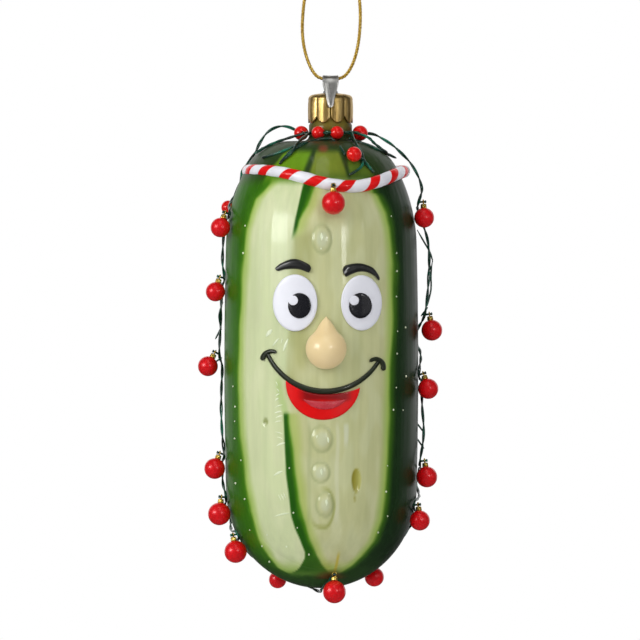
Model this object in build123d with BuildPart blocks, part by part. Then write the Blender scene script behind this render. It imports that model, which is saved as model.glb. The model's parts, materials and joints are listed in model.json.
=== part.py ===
from build123d import *
import os
from math import asin, cos, exp, hypot, pi, radians, sin, sqrt, tan

# A blown-glass pickle that hangs from a loop of gold cord. It has a cartoon face, a candy-stripe
# headband and a wire garland of small red baubles that swing on their eyelets.
# Millimetres. Z is up and the face looks along -Y. The origin is where the cord loop hangs.
# An azimuth is in degrees round a vertical axis: 0 is right, 90 front, 180 left and 270 back.

# Hanging cord: its route in the XZ plane, from inside the bail up the left, over and back.
cord_diameter = 0.9
cord_route = [
    (-0.15, -30.8),
    (-2.6, -30.8),
    (-4.4, -29.1),
    (-5.85, -25.9),
    (-6.8, -22.1),
    (-7.1, -18.2),
    (-6.9, -14.1),
    (-6.4, -9.9),
    (-5.4, -5.8),
    (-3.7, -2.1),
    (-1.4, 0.45),
    (1.8, 0.45),
    (4.4, -2.0),
    (6.2, -5.6),
    (7.15, -9.8),
    (7.5, -14.0),
    (7.4, -18.1),
    (6.95, -22.1),
    (6.05, -25.9),
    (4.55, -29.1),
    (2.6, -30.8),
    (0.15, -30.8),
]
knot_radius = 1.25
knot_rise = 0.75
tail_length = 4.6
tail_lean = 16
cord_fit = 0.03

# Stirrup bail: a tapered strap over the cap, with a pin in each leg
bail_drop = 6.45
bail_thickness = 0.45
bail_width = 4.0
bail_tip_width = 1.1
bail_tip_length = 0.75
bail_shoulder = 2.2
bail_straight = 2.0
strap_gap = 0.06
leg_gap = 0.22
pin_radius = 0.4
pin_fit = 0.05
pin_reach = 0.3

# Gold cap: a domed crown and a skirt of fluted petals
cap_rise = 3.0
cap_radius = 5.6
cap_height = 7.5
cap_wall = 0.3
crown_radius = 4.4
crown_drop = 0.4
shoulder_drop = 1.25
petal_count = 9
flute_centre = 2.2
notch_depth = 1.75
notch_half_width = 1.3
notch_waist = 0.4
slit_width = 0.4

# Spring clip: a bent wire that holds the cap in the neck
spring_radius = 0.3
spring_half_span = 1.6
spring_bend = 0.6
spring_length = 13.0
spring_fit = 0.12

# Glass pickle: a bent-necked blown form with a uniform wall
glass_wall = 1.2
neck_radius = 4.75
neck_base_radius = 5.4
neck_seat_gap = 0.3
neck_length = 11.1
neck_step_drop = 5.8
neck_step_height = 1.3
flare_radius = 1.5
body_offset = -2.3
dome_radius = 9.5
dome_rise = 0.2
shoulder_radius = 18.6
shoulder_height = 6.2
rise_height = 19.4
belly_radius = 24.25
belly_sag = 0.4
belly_length = 61.0
bottom_depth = 25.1
bowl_steps = 12

# Candy-stripe headband: a rod bedded on the dome that droops at the front
band_diameter = 3.1
band_level = 7.6
band_droop = 4.4
band_droop_azimuth = 74
band_droop_width = 35
band_stand = 0.45
band_shift = 1.2
band_points = 18
band_end_gap = 1.5
band_glue = 0.04

# Face pieces: thin castings bonded to the glass, as places on the front and sizes
glue_gap = 0.04
eye_height = 0.75
pupil_height = 0.3
brow_height = 0.6
brow_round = 0.3
smile_height = 0.55
mouth_height = 0.4
tongue_height = 0.3
eye_level = 40.4
left_eye_x = -8.8
left_eye_size = (11.1, 14.1)
right_eye_x = 7.65
right_eye_size = (10.2, 13.7)
pupil_level = 41.1
left_pupil_x = -7.7
right_pupil_x = 7.4
pupil_size = (5.7, 6.3)
glint_radius = 1.2
glint_shift = (-1.57, 1.3)
left_brow_top = [(-14.0, -31.95), (-12.2, -30.5), (-8.9, -29.5), (-5.6, -30.7), (-4.7, -31.9)]
left_brow_under = [(-13.15, -32.6), (-11.0, -32.1), (-8.0, -32.1), (-5.3, -33.0)]
right_brow_top = [(2.84, -32.4), (3.8, -31.1), (7.14, -30.6), (10.2, -31.5), (11.7, -33.1), (12.3, -34.35)]
right_brow_under = [(3.65, -34.1), (5.3, -33.3), (7.1, -32.7), (8.95, -32.8), (10.8, -33.7), (12.0, -35.0)]
nose_x = -1.1
nose_level = 51.8
nose_radius = 5.1
nose_length = 8.1
nose_stand = 0.4
smile_run = [(-15.7, -53.0), (-1.0, -62.3), (12.0, -54.8)]
left_tick_run = [(-16.9, -54.7), (-15.6, -52.6), (-13.4, -52.8)]
right_tick_run = [(9.7, -55.0), (12.2, -54.6), (12.9, -57.2)]
smile_width = 1.1
mouth_top_run = [(-11.1, -59.7), (-1.6, -63.1), (7.3, -61.4)]
mouth_lowest = (-1.6, -69.4)
tongue_top_run = [(-6.9, -64.2), (-1.6, -64.8), (4.0, -64.2)]
tongue_lowest = (-1.6, -66.8)

# Garland: green wire, a ring of beads at the neck, and hooks that carry the baubles
wire_radius = 0.35
wire_gap = 0.3
ring_radius = 7.45
ring_rise = 2.05
hook_radius = 0.3
hook_past = 0.75
hook_stop_radius = 0.42
bead_fit = 0.06
stem_depth = 0.9

# Baubles: a ball with a pip, in a gold cap with an eyelet
bauble_cap_radius = 0.72
bauble_cap_height = 0.95
bauble_cap_wall = 0.2
bauble_pip_radius = 0.4
bauble_pip_height = 0.6
eyelet_rise = 1.45
eyelet_radius = 0.62
eyelet_thickness = 0.42
eyelet_fit = 0.06
bauble_gap = 0.2
bauble_glue = 0.03
hook_length = 1.2
root_run = 1.1
under_gap = 0.4
front_stand = 4.0

# Levels that follow from the sizes above
cord_level = cord_route[0][1]
pin_level = cord_level - bail_drop
cap_top = pin_level + cap_rise
cap_bottom = cap_top - cap_height
neck_top = cap_top - crown_drop - cap_wall - neck_seat_gap
dome_level = neck_top - neck_length
shoulder_level = dome_level - shoulder_height
belly_top = shoulder_level - rise_height
belly_bottom = belly_top - belly_length
bottom_level = belly_bottom - bottom_depth
belly_end_radius = belly_radius - belly_sag
belly_middle = (belly_top + belly_bottom) / 2
ring_level = dome_level + ring_rise


def below_dome(drop):
    return dome_level - drop


def on_belly(share):
    """The level at a share of the belly's length, from its top."""
    return belly_top - belly_length * share


def on_bottom(share):
    """The level at a share of the bottom's depth, from its lowest point."""
    return bottom_level + bottom_depth * share


# The glass outline as circles, so that other pieces can be placed on it by level
def tangent_circle(start, tangent, end):
    across = Vector(-tangent.Y, tangent.X)
    chord = end - start
    turn = chord.dot(chord) / (2 * chord.dot(across))
    return start + across * turn, abs(turn)


belly_half = belly_length / 2
belly_curve = (belly_half**2 + belly_sag**2) / (2 * belly_sag)
belly_slope = asin(belly_half / belly_curve)
belly_corner = Vector(belly_end_radius, belly_top)
shoulder_corner = Vector(shoulder_radius, shoulder_level)
dome_corner = Vector(dome_radius, dome_level)
rise_centre, rise_curve = tangent_circle(
    belly_corner, Vector(-sin(belly_slope), cos(belly_slope)), shoulder_corner
)
shoulder_arm = (shoulder_corner - rise_centre) / rise_curve
crown_centre, crown_curve = tangent_circle(
    shoulder_corner, Vector(-shoulder_arm.Y, shoulder_arm.X), dome_corner
)


def glass_radius(level):
    if level < belly_bottom:
        share = min(1, (belly_bottom - level) / bottom_depth)
        return belly_end_radius * sqrt(1 - share**2)
    if level < belly_top:
        return belly_radius - belly_curve + sqrt(belly_curve**2 - (level - belly_middle) ** 2)
    if level < shoulder_level:
        return rise_centre.X + sqrt(rise_curve**2 - (level - rise_centre.Y) ** 2)
    return crown_centre.X + sqrt(crown_curve**2 - (level - crown_centre.Y) ** 2)


def on_glass(level, azimuth, off):
    """The point that is off millimetres clear of the glass, square to it, at a level and azimuth."""
    step = 0.01
    slope = (glass_radius(level + step) - glass_radius(level - step)) / (2 * step)
    square = hypot(1, slope)
    reach = glass_radius(level) + off / square
    turn = radians(azimuth)
    return Vector(body_offset + reach * cos(turn), -reach * sin(turn), level - off * slope / square)


body_axis = Axis((body_offset, 0, 0), (0, 0, 1))
body_plane = Plane((body_offset, 0, 0), x_dir=(1, 0, 0), z_dir=(0, -1, 0))


def bowl_points(inset):
    """Points down a quarter of an ellipse, which the bottom's curve runs through."""
    turns = [radians(90 * step / bowl_steps) for step in range(bowl_steps + 1)]
    wide = belly_end_radius - inset
    deep = bottom_depth - inset
    return [(wide * sin(turn), belly_bottom - deep * cos(turn)) for turn in turns]


def body_form(inset):
    """The pickle's outer form without its neck, drawn in by inset all round."""
    with BuildPart() as form:
        with BuildSketch(body_plane):
            with BuildLine():
                bowl = Spline(bowl_points(inset), tangents=[(1, 0), (0, 1)])
                belly = ThreePointArc(
                    bowl @ 1,
                    (belly_radius - inset, belly_middle),
                    (belly_end_radius - inset, belly_top),
                )
                shoulder_end = shoulder_corner - shoulder_arm * inset
                rise = TangentArc(belly @ 1, shoulder_end, tangent=belly % 1)
                crown = TangentArc(rise @ 1, (dome_radius, dome_level - inset), tangent=rise % 1)
                top = Line(crown @ 1, (0, dome_level + dome_rise - inset))
                Line(top @ 1, bowl @ 0)
            make_face()
        revolve(axis=body_axis)
    return form.part


def neck_form(inset):
    """The neck's outer form: a plug for the cap, a step out and a flare into the dome."""
    step_level = neck_top - neck_step_drop
    flare_level = dome_level + flare_radius
    with BuildPart() as form:
        with BuildSketch(Plane.XZ):
            with BuildLine():
                rim = Line((0, neck_top), (neck_radius - inset, neck_top))
                plug = Line(rim @ 1, (neck_radius - inset, step_level))
                step = Line(plug @ 1, (neck_base_radius - inset, step_level - neck_step_height))
                base = Line(step @ 1, (neck_base_radius - inset, flare_level))
                foot = (neck_base_radius + flare_radius - inset, dome_level - inset / 2)
                flare = TangentArc(base @ 1, foot, tangent=base % 1)
                skirt = Line(flare @ 1, (neck_base_radius - inset, dome_level - glass_wall - inset))
                floor = Line(skirt @ 1, (0, dome_level - glass_wall - inset))
                Line(floor @ 1, rim @ 0)
            make_face()
        revolve(axis=Axis.Z)
    return form.part


with BuildPart() as glass_body:
    add(body_form(0))
    add(neck_form(0))
    add(body_form(glass_wall), mode=Mode.SUBTRACT)
    with Locations((0, 0, neck_top)):
        Cylinder(
            neck_radius - glass_wall,
            neck_length + glass_wall * 2,
            align=(Align.CENTER, Align.CENTER, Align.MAX),
            mode=Mode.SUBTRACT,
        )


# Hanging cord and the knot that closes its loop
def corner_radii(points):
    radii = []
    for before, here, after in zip(points, points[1:], points[2:]):
        run_in = here - before
        run_out = after - here
        half_turn = radians(run_in.get_angle(run_out)) / 2
        radii.append(0.45 * min(run_in.length, run_out.length) / tan(half_turn))
    return radii


def tube(points, radius, name):
    """A round tube along straight runs and tangent arcs, with its volume compared to its length."""
    radii = corner_radii(points)
    with BuildPart() as form:
        with BuildLine() as route:
            FilletPolyline(*points, radius=radii)
        with BuildSketch(Plane(points[0], z_dir=points[1] - points[0])):
            Circle(radius)
        sweep()
    share = form.part.volume / (pi * radius**2 * route.wires()[0].length)
    print(f"{name}: least radius {min(radii):.2f}, length {route.wires()[0].length:.1f}, share {share:.4f}")
    return form.part


cord_points = [Vector(x, 0, z) for x, z in cord_route]
with BuildPart() as hanging_cord:
    add(tube(cord_points, cord_diameter / 2, "hanging_cord"))

with BuildPart() as cord_knot:
    with Locations((0, 0, cord_diameter / 2 + knot_rise)):
        Sphere(knot_radius)
    for side in (-1, 1):
        tail_way = (side * sin(radians(tail_lean)), 0, cos(radians(tail_lean)))
        with BuildSketch(Plane((0, 0, cord_diameter / 2 + knot_rise), z_dir=tail_way)):
            Circle(cord_diameter / 2)
        extrude(amount=knot_radius + tail_length)
    add(tube(cord_points, cord_diameter / 2 + cord_fit, "knot channel"), mode=Mode.SUBTRACT)
    split(bisect_by=Plane.XY)

# Bail
leg_middle = cap_radius + leg_gap + bail_thickness / 2
strap_middle = cord_level + cord_diameter / 2 + strap_gap + bail_thickness / 2
strap_top = strap_middle + bail_thickness / 2
bail_tip = pin_level - bail_tip_length
taper_level = strap_top - bail_straight
with BuildPart() as bail:
    with BuildSketch(Plane.YZ):
        with BuildLine():
            FilletPolyline(
                (-leg_middle, bail_tip),
                (-leg_middle, strap_middle),
                (leg_middle, strap_middle),
                (leg_middle, bail_tip),
                radius=bail_shoulder,
            )
        trace(line_width=bail_thickness)
    extrude(amount=bail_width / 2, both=True)
    with BuildSketch(Plane.XZ):
        with BuildLine():
            Polyline(
                (-bail_width / 2, strap_top),
                (bail_width / 2, strap_top),
                (bail_width / 2, taper_level),
                (bail_tip_width / 2, bail_tip),
                (-bail_tip_width / 2, bail_tip),
                (-bail_width / 2, taper_level),
                close=True,
            )
        make_face()
    extrude(amount=leg_middle + bail_thickness, both=True, mode=Mode.INTERSECT)
    pin_length = leg_middle - cap_radius + cap_wall + pin_reach
    for side in (-1, 1):
        with Locations(Plane((0, side * leg_middle, pin_level), z_dir=(0, -side, 0))):
            Cylinder(pin_radius, pin_length, align=(Align.CENTER, Align.CENTER, Align.MIN))


# Cap
def cap_form(inset):
    """The cap's fluted outer form, drawn in by inset all round."""
    first_petal = 270 + 180 / petal_count
    with BuildPart() as form:
        with BuildSketch(Plane.XY.offset(cap_bottom)):
            with PolarLocations(flute_centre, petal_count, start_angle=first_petal):
                Circle(cap_radius - flute_centre - inset)
        extrude(amount=cap_height)
        with BuildSketch(Plane.XZ):
            with BuildLine():
                crown = ThreePointArc(
                    (0, cap_top - inset),
                    (crown_radius / 2, cap_top - crown_drop / 4 - inset),
                    (crown_radius, cap_top - crown_drop - inset),
                )
                side_level = cap_top - crown_drop - shoulder_drop
                edge = TangentArc(crown @ 1, (cap_radius - inset, side_level), tangent=crown % 1)
                side = Line(edge @ 1, (cap_radius - inset, cap_bottom))
                floor = Line(side @ 1, (0, cap_bottom))
                Line(floor @ 1, crown @ 0)
            make_face()
        revolve(axis=Axis.Z, mode=Mode.INTERSECT)
    return form.part


notch_top = cap_bottom + notch_depth
with BuildPart() as notch:
    with BuildSketch(Plane.XZ):
        with BuildLine():
            right = ThreePointArc(
                (0, notch_top),
                (notch_waist, notch_top - notch_depth * 0.6),
                (notch_half_width, cap_bottom),
            )
            left = ThreePointArc(
                (0, notch_top),
                (-notch_waist, notch_top - notch_depth * 0.6),
                (-notch_half_width, cap_bottom),
            )
            Line(right @ 1, left @ 1)
        make_face()
    extrude(amount=cap_radius * 1.2)

spring_bar = cap_top + spring_radius + strap_gap
with BuildPart() as cap:
    add(cap_form(0))
    add(cap_form(cap_wall), mode=Mode.SUBTRACT)
    with PolarLocations(0, petal_count):
        add(notch.part, mode=Mode.SUBTRACT)
    with Locations(Plane((0, 0, pin_level), z_dir=(0, -1, 0))):
        Cylinder(pin_radius + pin_fit, cap_radius * 2.2, mode=Mode.SUBTRACT)
    with Locations((0, -cap_radius, pin_level)):
        Box(
            slit_width,
            cap_radius,
            pin_level - cap_bottom,
            align=(Align.CENTER, Align.CENTER, Align.MAX),
            mode=Mode.SUBTRACT,
        )
    with Locations((-spring_half_span, 0, cap_top), (spring_half_span, 0, cap_top)):
        Cylinder(spring_radius + spring_fit, cap_wall * 6, mode=Mode.SUBTRACT)

# Spring clip: a bar across the crown and two legs that press outward in the neck
spring_spread = neck_radius - glass_wall - spring_radius - spring_fit
with BuildPart() as cap_spring:
    with BuildLine():
        FilletPolyline(
            (-spring_spread, 0, spring_bar - spring_length),
            (-spring_half_span, 0, spring_bar - spring_bend * 2),
            (-spring_half_span, 0, spring_bar),
            (spring_half_span, 0, spring_bar),
            (spring_half_span, 0, spring_bar - spring_bend * 2),
            (spring_spread, 0, spring_bar - spring_length),
            radius=spring_bend * 0.9,
        )
    leg = Vector(spring_spread - spring_half_span, 0, spring_length - spring_bend * 2)
    with BuildSketch(Plane((-spring_spread, 0, spring_bar - spring_length), z_dir=leg)):
        Circle(spring_radius)
    sweep()


# Headband
def band_height(azimuth):
    away = (azimuth - band_droop_azimuth) / band_droop_width
    return below_dome(band_level) - band_droop * exp(-(away**2))


band_route = []
for step in range(band_points + 1):
    azimuth = 270 - 360 * step / band_points
    slack = band_end_gap if step == 0 else -band_end_gap if step == band_points else 0
    place = on_glass(band_height(azimuth), azimuth - slack, band_stand)
    band_route.append(place + Vector(band_shift, 0, 0))

front_azimuth = 86
hook_level = band_height(front_azimuth)
hook_root = on_glass(hook_level, front_azimuth, band_stand) + Vector(band_shift, 0, 0)
hook_out = Vector(cos(radians(front_azimuth)), -sin(radians(front_azimuth)), 0)
with BuildPart() as headband:
    add(tube(band_route, band_diameter / 2, "headband"))
    add(body_form(-band_glue), mode=Mode.SUBTRACT)
    with Locations(Plane(hook_root, z_dir=hook_out)):
        Cylinder(
            hook_radius + bead_fit,
            band_diameter,
            align=(Align.CENTER, Align.CENTER, Align.MIN),
            mode=Mode.SUBTRACT,
        )


# Face: each piece is drawn on the front, cut through and kept between two skins of the glass
face_plane = Plane.XZ.offset(belly_radius * 1.5)
face_reach = belly_radius


def keep_skin(low, high, outline=None):
    extrude(outline, amount=-face_reach)
    add(body_form(-high), mode=Mode.INTERSECT)
    add(body_form(-low), mode=Mode.SUBTRACT)


eye_top = glue_gap + eye_height
with BuildPart() as left_eye:
    with BuildSketch(face_plane):
        with Locations((left_eye_x, below_dome(eye_level))):
            Ellipse(left_eye_size[0] / 2, left_eye_size[1] / 2)
    keep_skin(glue_gap, eye_top)

with BuildPart() as right_eye:
    with BuildSketch(face_plane):
        with Locations((right_eye_x, below_dome(eye_level))):
            Ellipse(right_eye_size[0] / 2, right_eye_size[1] / 2)
    keep_skin(glue_gap, eye_top)


def pupil_outline(x):
    with BuildSketch(face_plane) as outline:
        with Locations((x, below_dome(pupil_level))):
            Ellipse(pupil_size[0] / 2, pupil_size[1] / 2)
        with Locations((x + glint_shift[0], below_dome(pupil_level) + glint_shift[1])):
            Circle(glint_radius, mode=Mode.SUBTRACT)
    return outline.sketch


pupil_low = eye_top + glue_gap
with BuildPart() as left_pupil:
    keep_skin(pupil_low, pupil_low + pupil_height, pupil_outline(left_pupil_x))

with BuildPart() as right_pupil:
    keep_skin(pupil_low, pupil_low + pupil_height, pupil_outline(right_pupil_x))


def on_face(places):
    return [Vector(x, dome_level + z) for x, z in places]


def brow_outline(top, under):
    with BuildSketch(face_plane) as outline:
        with BuildLine():
            upper = Spline(on_face(top))
            lower = Spline(on_face(under))
            Line(upper @ 0, lower @ 0)
            Line(upper @ 1, lower @ 1)
        make_face()
        fillet(outline.vertices(), brow_round)
    return outline.sketch


with BuildPart() as left_brow:
    keep_skin(glue_gap, glue_gap + brow_height, brow_outline(left_brow_top, left_brow_under))

with BuildPart() as right_brow:
    keep_skin(glue_gap, glue_gap + brow_height, brow_outline(right_brow_top, right_brow_under))

nose_front = on_glass(below_dome(nose_level), 90, nose_stand).Y
nose_plane = Plane((nose_x, nose_front, below_dome(nose_level)), x_dir=(1, 0, 0), z_dir=(0, -1, 0))
nose_cone = asin(nose_radius / nose_length)
with BuildPart() as nose:
    with BuildSketch(nose_plane):
        with BuildLine():
            side_point = (nose_radius * cos(nose_cone), nose_radius * sin(nose_cone))
            ridge = Line((0, nose_length), side_point)
            bulb = TangentArc(ridge @ 1, (0, -nose_radius), tangent=ridge % 1)
            Line(bulb @ 1, ridge @ 0)
        make_face()
    revolve(axis=Axis((nose_x, nose_front, 0), (0, 0, 1)))
    add(body_form(-glue_gap), mode=Mode.SUBTRACT)

with BuildPart() as smile_line:
    with BuildSketch(face_plane):
        for run in (smile_run, left_tick_run, right_tick_run):
            with BuildLine():
                ThreePointArc(*on_face(run))
            trace(line_width=smile_width)
    keep_skin(glue_gap, glue_gap + smile_height)


def lens_outline(top, lowest):
    with BuildSketch(face_plane) as outline:
        with BuildLine():
            left, middle, right = on_face(top)
            ThreePointArc(left, middle, right)
            ThreePointArc(left, on_face([lowest])[0], right)
        make_face()
    return outline.sketch


with BuildPart() as mouth:
    keep_skin(glue_gap, glue_gap + mouth_height, lens_outline(mouth_top_run, mouth_lowest))

tongue_low = glue_gap + mouth_height + glue_gap
with BuildPart() as tongue:
    keep_skin(tongue_low, tongue_low + tongue_height, lens_outline(tongue_top_run, tongue_lowest))


# Garland: places for the wires
wire_off = wire_radius + wire_gap


def outward(azimuth):
    return Vector(cos(radians(azimuth)), -sin(radians(azimuth)), 0)


def left_side(level, forward, off):
    return on_glass(level, 180 - forward, off)


def right_side(level, forward, off):
    return on_glass(level, forward, off)


def on_dome(drop, azimuth):
    return on_glass(below_dome(drop), azimuth, wire_off)


def on_ring(azimuth, out=0):
    return outward(azimuth) * (ring_radius + out) + Vector(0, 0, ring_level)


def glass_clearance(point):
    if point.Z > dome_level:
        return point.Z - dome_level
    step = 0.01
    slope = (glass_radius(point.Z + step) - glass_radius(point.Z - step)) / (2 * step)
    return (hypot(point.X - body_offset, point.Y) - glass_radius(point.Z)) / hypot(1, slope)


def moved_clear(point, way, off):
    """The point, moved along way where it is less than off millimetres clear of the glass."""
    for _ in range(20):
        point = point + way * max(0, off - glass_clearance(point))
    return point


class Bauble:
    """Where a bauble hangs: its ball's centre, its upward axis, and the eyelet on its hook."""

    def __init__(self, name, radius, centre, azimuth, lean):
        out = outward(azimuth)
        tip = radians(lean)
        self.name = name
        self.radius = radius
        self.up = Vector(0, 0, cos(tip)) - out * sin(tip)
        self.axis = out * cos(tip) + Vector(0, 0, sin(tip))
        root = centre + self.up * (radius + eyelet_rise) - self.axis * hook_length
        self.root = moved_clear(root, out, wire_off)
        self.centre = centre + self.root - root
        self.eyelet = self.root + self.axis * hook_length
        self.plane = Plane(self.centre, x_dir=self.axis, z_dir=self.up)


def beside_glass(level, azimuth, off):
    """The point at a level that is off millimetres clear of the glass."""
    contact = level
    for _ in range(30):
        contact += (level - on_glass(contact, azimuth, off).Z) / 2
    return on_glass(contact, azimuth, off)


def side_bauble(name, radius, level, azimuth, lean, stand):
    centre = beside_glass(level, azimuth, radius + stand)
    return Bauble(name, radius, centre, azimuth, lean)


def plumb_bauble(name, radius, level, azimuth, share):
    centre = outward(azimuth) * belly_end_radius * share + Vector(body_offset, 0, level)
    return Bauble(name, radius, centre, azimuth, 0)


left_baubles = [
    side_bauble("left_bauble_1", 2.45, below_dome(21.6), 162.8, 18, bauble_gap + 0.1),
    side_bauble("left_bauble_2", 2.42, on_belly(0.1967), 168.9, 16, bauble_gap),
    side_bauble("left_bauble_3", 2.5, on_belly(0.5016), 180, 27, 1.6),
    side_bauble("left_bauble_4", 2.6, on_belly(0.9197), 169.5, 17.5, bauble_gap),
    side_bauble("left_bauble_5", 2.83, on_bottom(0.745), 166.3, 7, bauble_gap),
    side_bauble("left_bauble_6", 2.8, on_bottom(0.3705), 161.3, -9, bauble_gap + 0.3),
    plumb_bauble("bottom_bauble_1", 2.2, on_bottom(0.0717), 230.4, 0.7212),
    plumb_bauble("bottom_bauble_2", 2.85, on_bottom(-0.0199), 77.5, 0.6289),
]
right_baubles = [
    side_bauble("right_bauble_1", 2.5, below_dome(19.1), 7.8, 3, bauble_gap),
    side_bauble("right_bauble_2", 2.62, on_belly(0.3541), 0, 8.5, 0.8),
    side_bauble("right_bauble_3", 2.55, on_belly(0.5934), 12, 17.5, bauble_gap),
    side_bauble("right_bauble_4", 2.62, on_belly(0.9541), 10.2, 7.5, bauble_gap),
    side_bauble("right_bauble_5", 2.52, on_bottom(0.6813), 17.9, 6, bauble_gap),
    plumb_bauble("bottom_bauble_3", 2.43, on_bottom(0.0996), -42.5, 0.7547),
]
front_radius = 2.9
front_centre = hook_root + hook_out * front_stand - Vector(0, 0, front_radius + eyelet_rise)
front_bauble = Bauble(
    "front_bauble",
    front_radius,
    moved_clear(front_centre, hook_out, front_radius + bauble_gap),
    front_azimuth,
    0,
)


# The wires' routes: each runs to a bauble's hook, then round behind the ball to the next hook
def arch_route(start, places):
    points = [start]
    for x, y, drop in places:
        out = Vector(x - body_offset, y, 0).normalized()
        points.append(moved_clear(Vector(x, y, below_dome(drop)), out, wire_off))
    return points


left_arch = arch_route(
    on_ring(200, wire_radius * 2 + cord_fit),
    [(-9.2, 3.0, -3.4), (-12.6, 3.0, -4.1), (-15.8, 3.4, -2.6), (-17.7, 4.0, 0.2), (-18.9, 5.2, 2.9),
     (-20.4, 7.2, 4.9), (-22.2, 8.6, 7.0), (-22.4, 8.3, 9.4), (-23.2, 6.6, 11.6), (-23.9, 5.6, 13.6)],
)
left_arch.append(left_side(below_dome(16.2), 2, wire_off))
left_runs = [
    [(below_dome(19.3), 8, 0.8), (below_dome(22.0), 4.5, 0.75), (on_belly(0.0098), 2, 0.75),
     (on_belly(0.0836), 2.5, 0.8)],
    [(on_belly(0.1639), 1, 0.8), (on_belly(0.2131), -1, 0.8), (on_belly(0.2689), 0, 0.9),
     (on_belly(0.3541), -1, 1.0)],
    [(on_belly(0.5016), -10, 0.8), (on_belly(0.5836), -1, 0.75), (on_belly(0.6738), 0.5, 0.85),
     (on_belly(0.7639), 0, 0.75)],
    [(on_belly(0.8852), 0, 0.8), (on_belly(0.9344), -2.5, 0.8), (on_belly(0.9852), 3, 0.8)],
    [(on_bottom(0.8367), -2, 0.85), (on_bottom(0.7171), -18, 0.85), (on_bottom(0.6334), -9, 0.85),
     (on_bottom(0.5817), 5, 0.95)],
    [(on_bottom(0.494), 6, 0.9), (on_bottom(0.4382), -8, 0.85), (on_bottom(0.3147), -22, 0.85),
     (on_bottom(0.247), -38, 0.9)],
    [(on_bottom(0.1036), -58, 0.9), (on_bottom(0.0279), -68, 0.95)],
]
right_arch = arch_route(
    on_ring(-22, wire_radius * 2 + cord_fit),
    [(10.4, 2.6, -2.2), (13.1, 1.8, -0.7), (15.6, 1.2, 0.9), (17.7, 0.8, 2.9), (19.7, 0.6, 4.9),
     (21.2, 0.6, 7.2), (22.4, 0.2, 9.7), (23.0, -0.8, 12.4)],
)
right_runs = [
    [(below_dome(17.0), -3, 1.3), (below_dome(19.6), -6.5, 1.6), (below_dome(23.0), -3, 2.6),
     (on_belly(0.023), 0, 3.1), (on_belly(0.0951), 0.5, 3.0), (on_belly(0.1869), 0, 2.6)],
    [(on_belly(0.3541), -18, 0.9), (on_belly(0.4049), -19, 0.9), (on_belly(0.4525), -5, 1.0)],
    [(on_belly(0.5557), 2, 0.9), (on_belly(0.6049), -1, 0.9), (on_belly(0.6754), 0, 1.0),
     (on_belly(0.7443), 0.5, 1.5), (on_belly(0.8131), 1.5, 1.4)],
    [(on_belly(0.9164), -5, 0.9), (on_belly(0.9639), -18, 0.85), (on_bottom(0.9801), -12, 0.85),
     (on_bottom(0.9084), 3, 0.95)],
    [(on_bottom(0.7649), 0, 0.9), (on_bottom(0.6215), -13, 0.85), (on_bottom(0.4781), -22, 0.85),
     (on_bottom(0.3586), -30, 0.9)],
    [(on_bottom(0.1355), -54, 0.9), (on_bottom(0.0478), -64, 0.9)],
]


def garland_route(arch, baubles, runs, place):
    """The arch, then a short straight run through each hook's root and the run to the next."""
    points = list(arch)
    for bauble, run in zip(baubles, runs):
        spots = [place(*spot) for spot in run]
        along = (spots[0] - points[-1]).normalized() * root_run
        points += [bauble.root - along, bauble.root + along]
        points += spots
    return points


def add_hooks(baubles):
    for bauble in baubles:
        end = bauble.eyelet + bauble.axis * hook_past
        with Locations(Plane(bauble.root, z_dir=bauble.axis)):
            Cylinder(
                hook_radius,
                (end - bauble.root).length,
                align=(Align.CENTER, Align.CENTER, Align.MIN),
            )
        with Locations(end):
            Sphere(hook_stop_radius)


def add_stem(start, end):
    with Locations(Plane(start, z_dir=end - start)):
        Cylinder(hook_radius, (end - start).length, align=(Align.CENTER, Align.CENTER, Align.MIN))


def towards(start, end, short):
    return end - (end - start).normalized() * short


# Beads: four threaded on the ring, and two on stems
ring_beads = {
    "ring_bead_1": (169, 1.84),
    "ring_bead_2": (114.6, 1.63),
    "ring_bead_3": (77.6, 1.66),
    "ring_bead_4": (6.7, 1.95),
}
shoulder_bead_radius = 1.88
shoulder_bead_centre = beside_glass(below_dome(3.5), 65, shoulder_bead_radius + wire_gap / 2)
shoulder_stem_root = on_dome(5.2, 55.5)
side_bead_radius = 1.75
side_bead_centre = beside_glass(below_dome(16.4), 198, side_bead_radius + wire_gap / 2)
side_stem_root = left_arch[10]

crown_branches = [
    [on_ring(148), Vector(-9.6, -4.9, ring_level - 1.0), on_dome(1.6, 160), on_dome(3.6, 165)],
    [on_ring(133), on_dome(1.0, 118), on_dome(2.9, 114), on_dome(4.4, 118), on_dome(5.5, 122)],
    [on_ring(46), on_dome(1.2, 52), on_dome(3.4, 53.5), on_dome(5.2, 55.5), on_dome(6.9, 59),
     on_dome(8.0, 64.5), on_dome(8.9, 70)],
    [on_dome(5.2, 55.5), on_dome(6.9, 52.5), on_dome(8.3, 50)],
    [on_ring(32), Vector(9.4, -4.6, ring_level - 0.8), on_dome(1.5, 20), on_dome(3.4, 13)],
]
with BuildPart() as crown_wire:
    with Locations((0, 0, ring_level)):
        Torus(ring_radius, wire_radius)
    for number, branch in enumerate(crown_branches):
        add(tube(branch, wire_radius, f"crown branch {number}"))
    bead_end = towards(shoulder_stem_root, shoulder_bead_centre, shoulder_bead_radius - stem_depth)
    add_stem(shoulder_stem_root, bead_end)

left_route = garland_route(left_arch, left_baubles, left_runs, left_side)
left_route += [
    Vector(body_offset, 0, bottom_level - wire_off - under_gap),
    on_glass(on_bottom(0.0279), 92, 0.95),
    on_glass(on_bottom(0.0876), 82, 0.9),
    left_baubles[-1].root,
]
with BuildPart() as left_garland_wire:
    add(tube(left_route, wire_radius, "left_garland_wire"))
    add_hooks(left_baubles)
    bead_end = towards(side_stem_root, side_bead_centre, side_bead_radius - stem_depth)
    add_stem(side_stem_root, bead_end)

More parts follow.
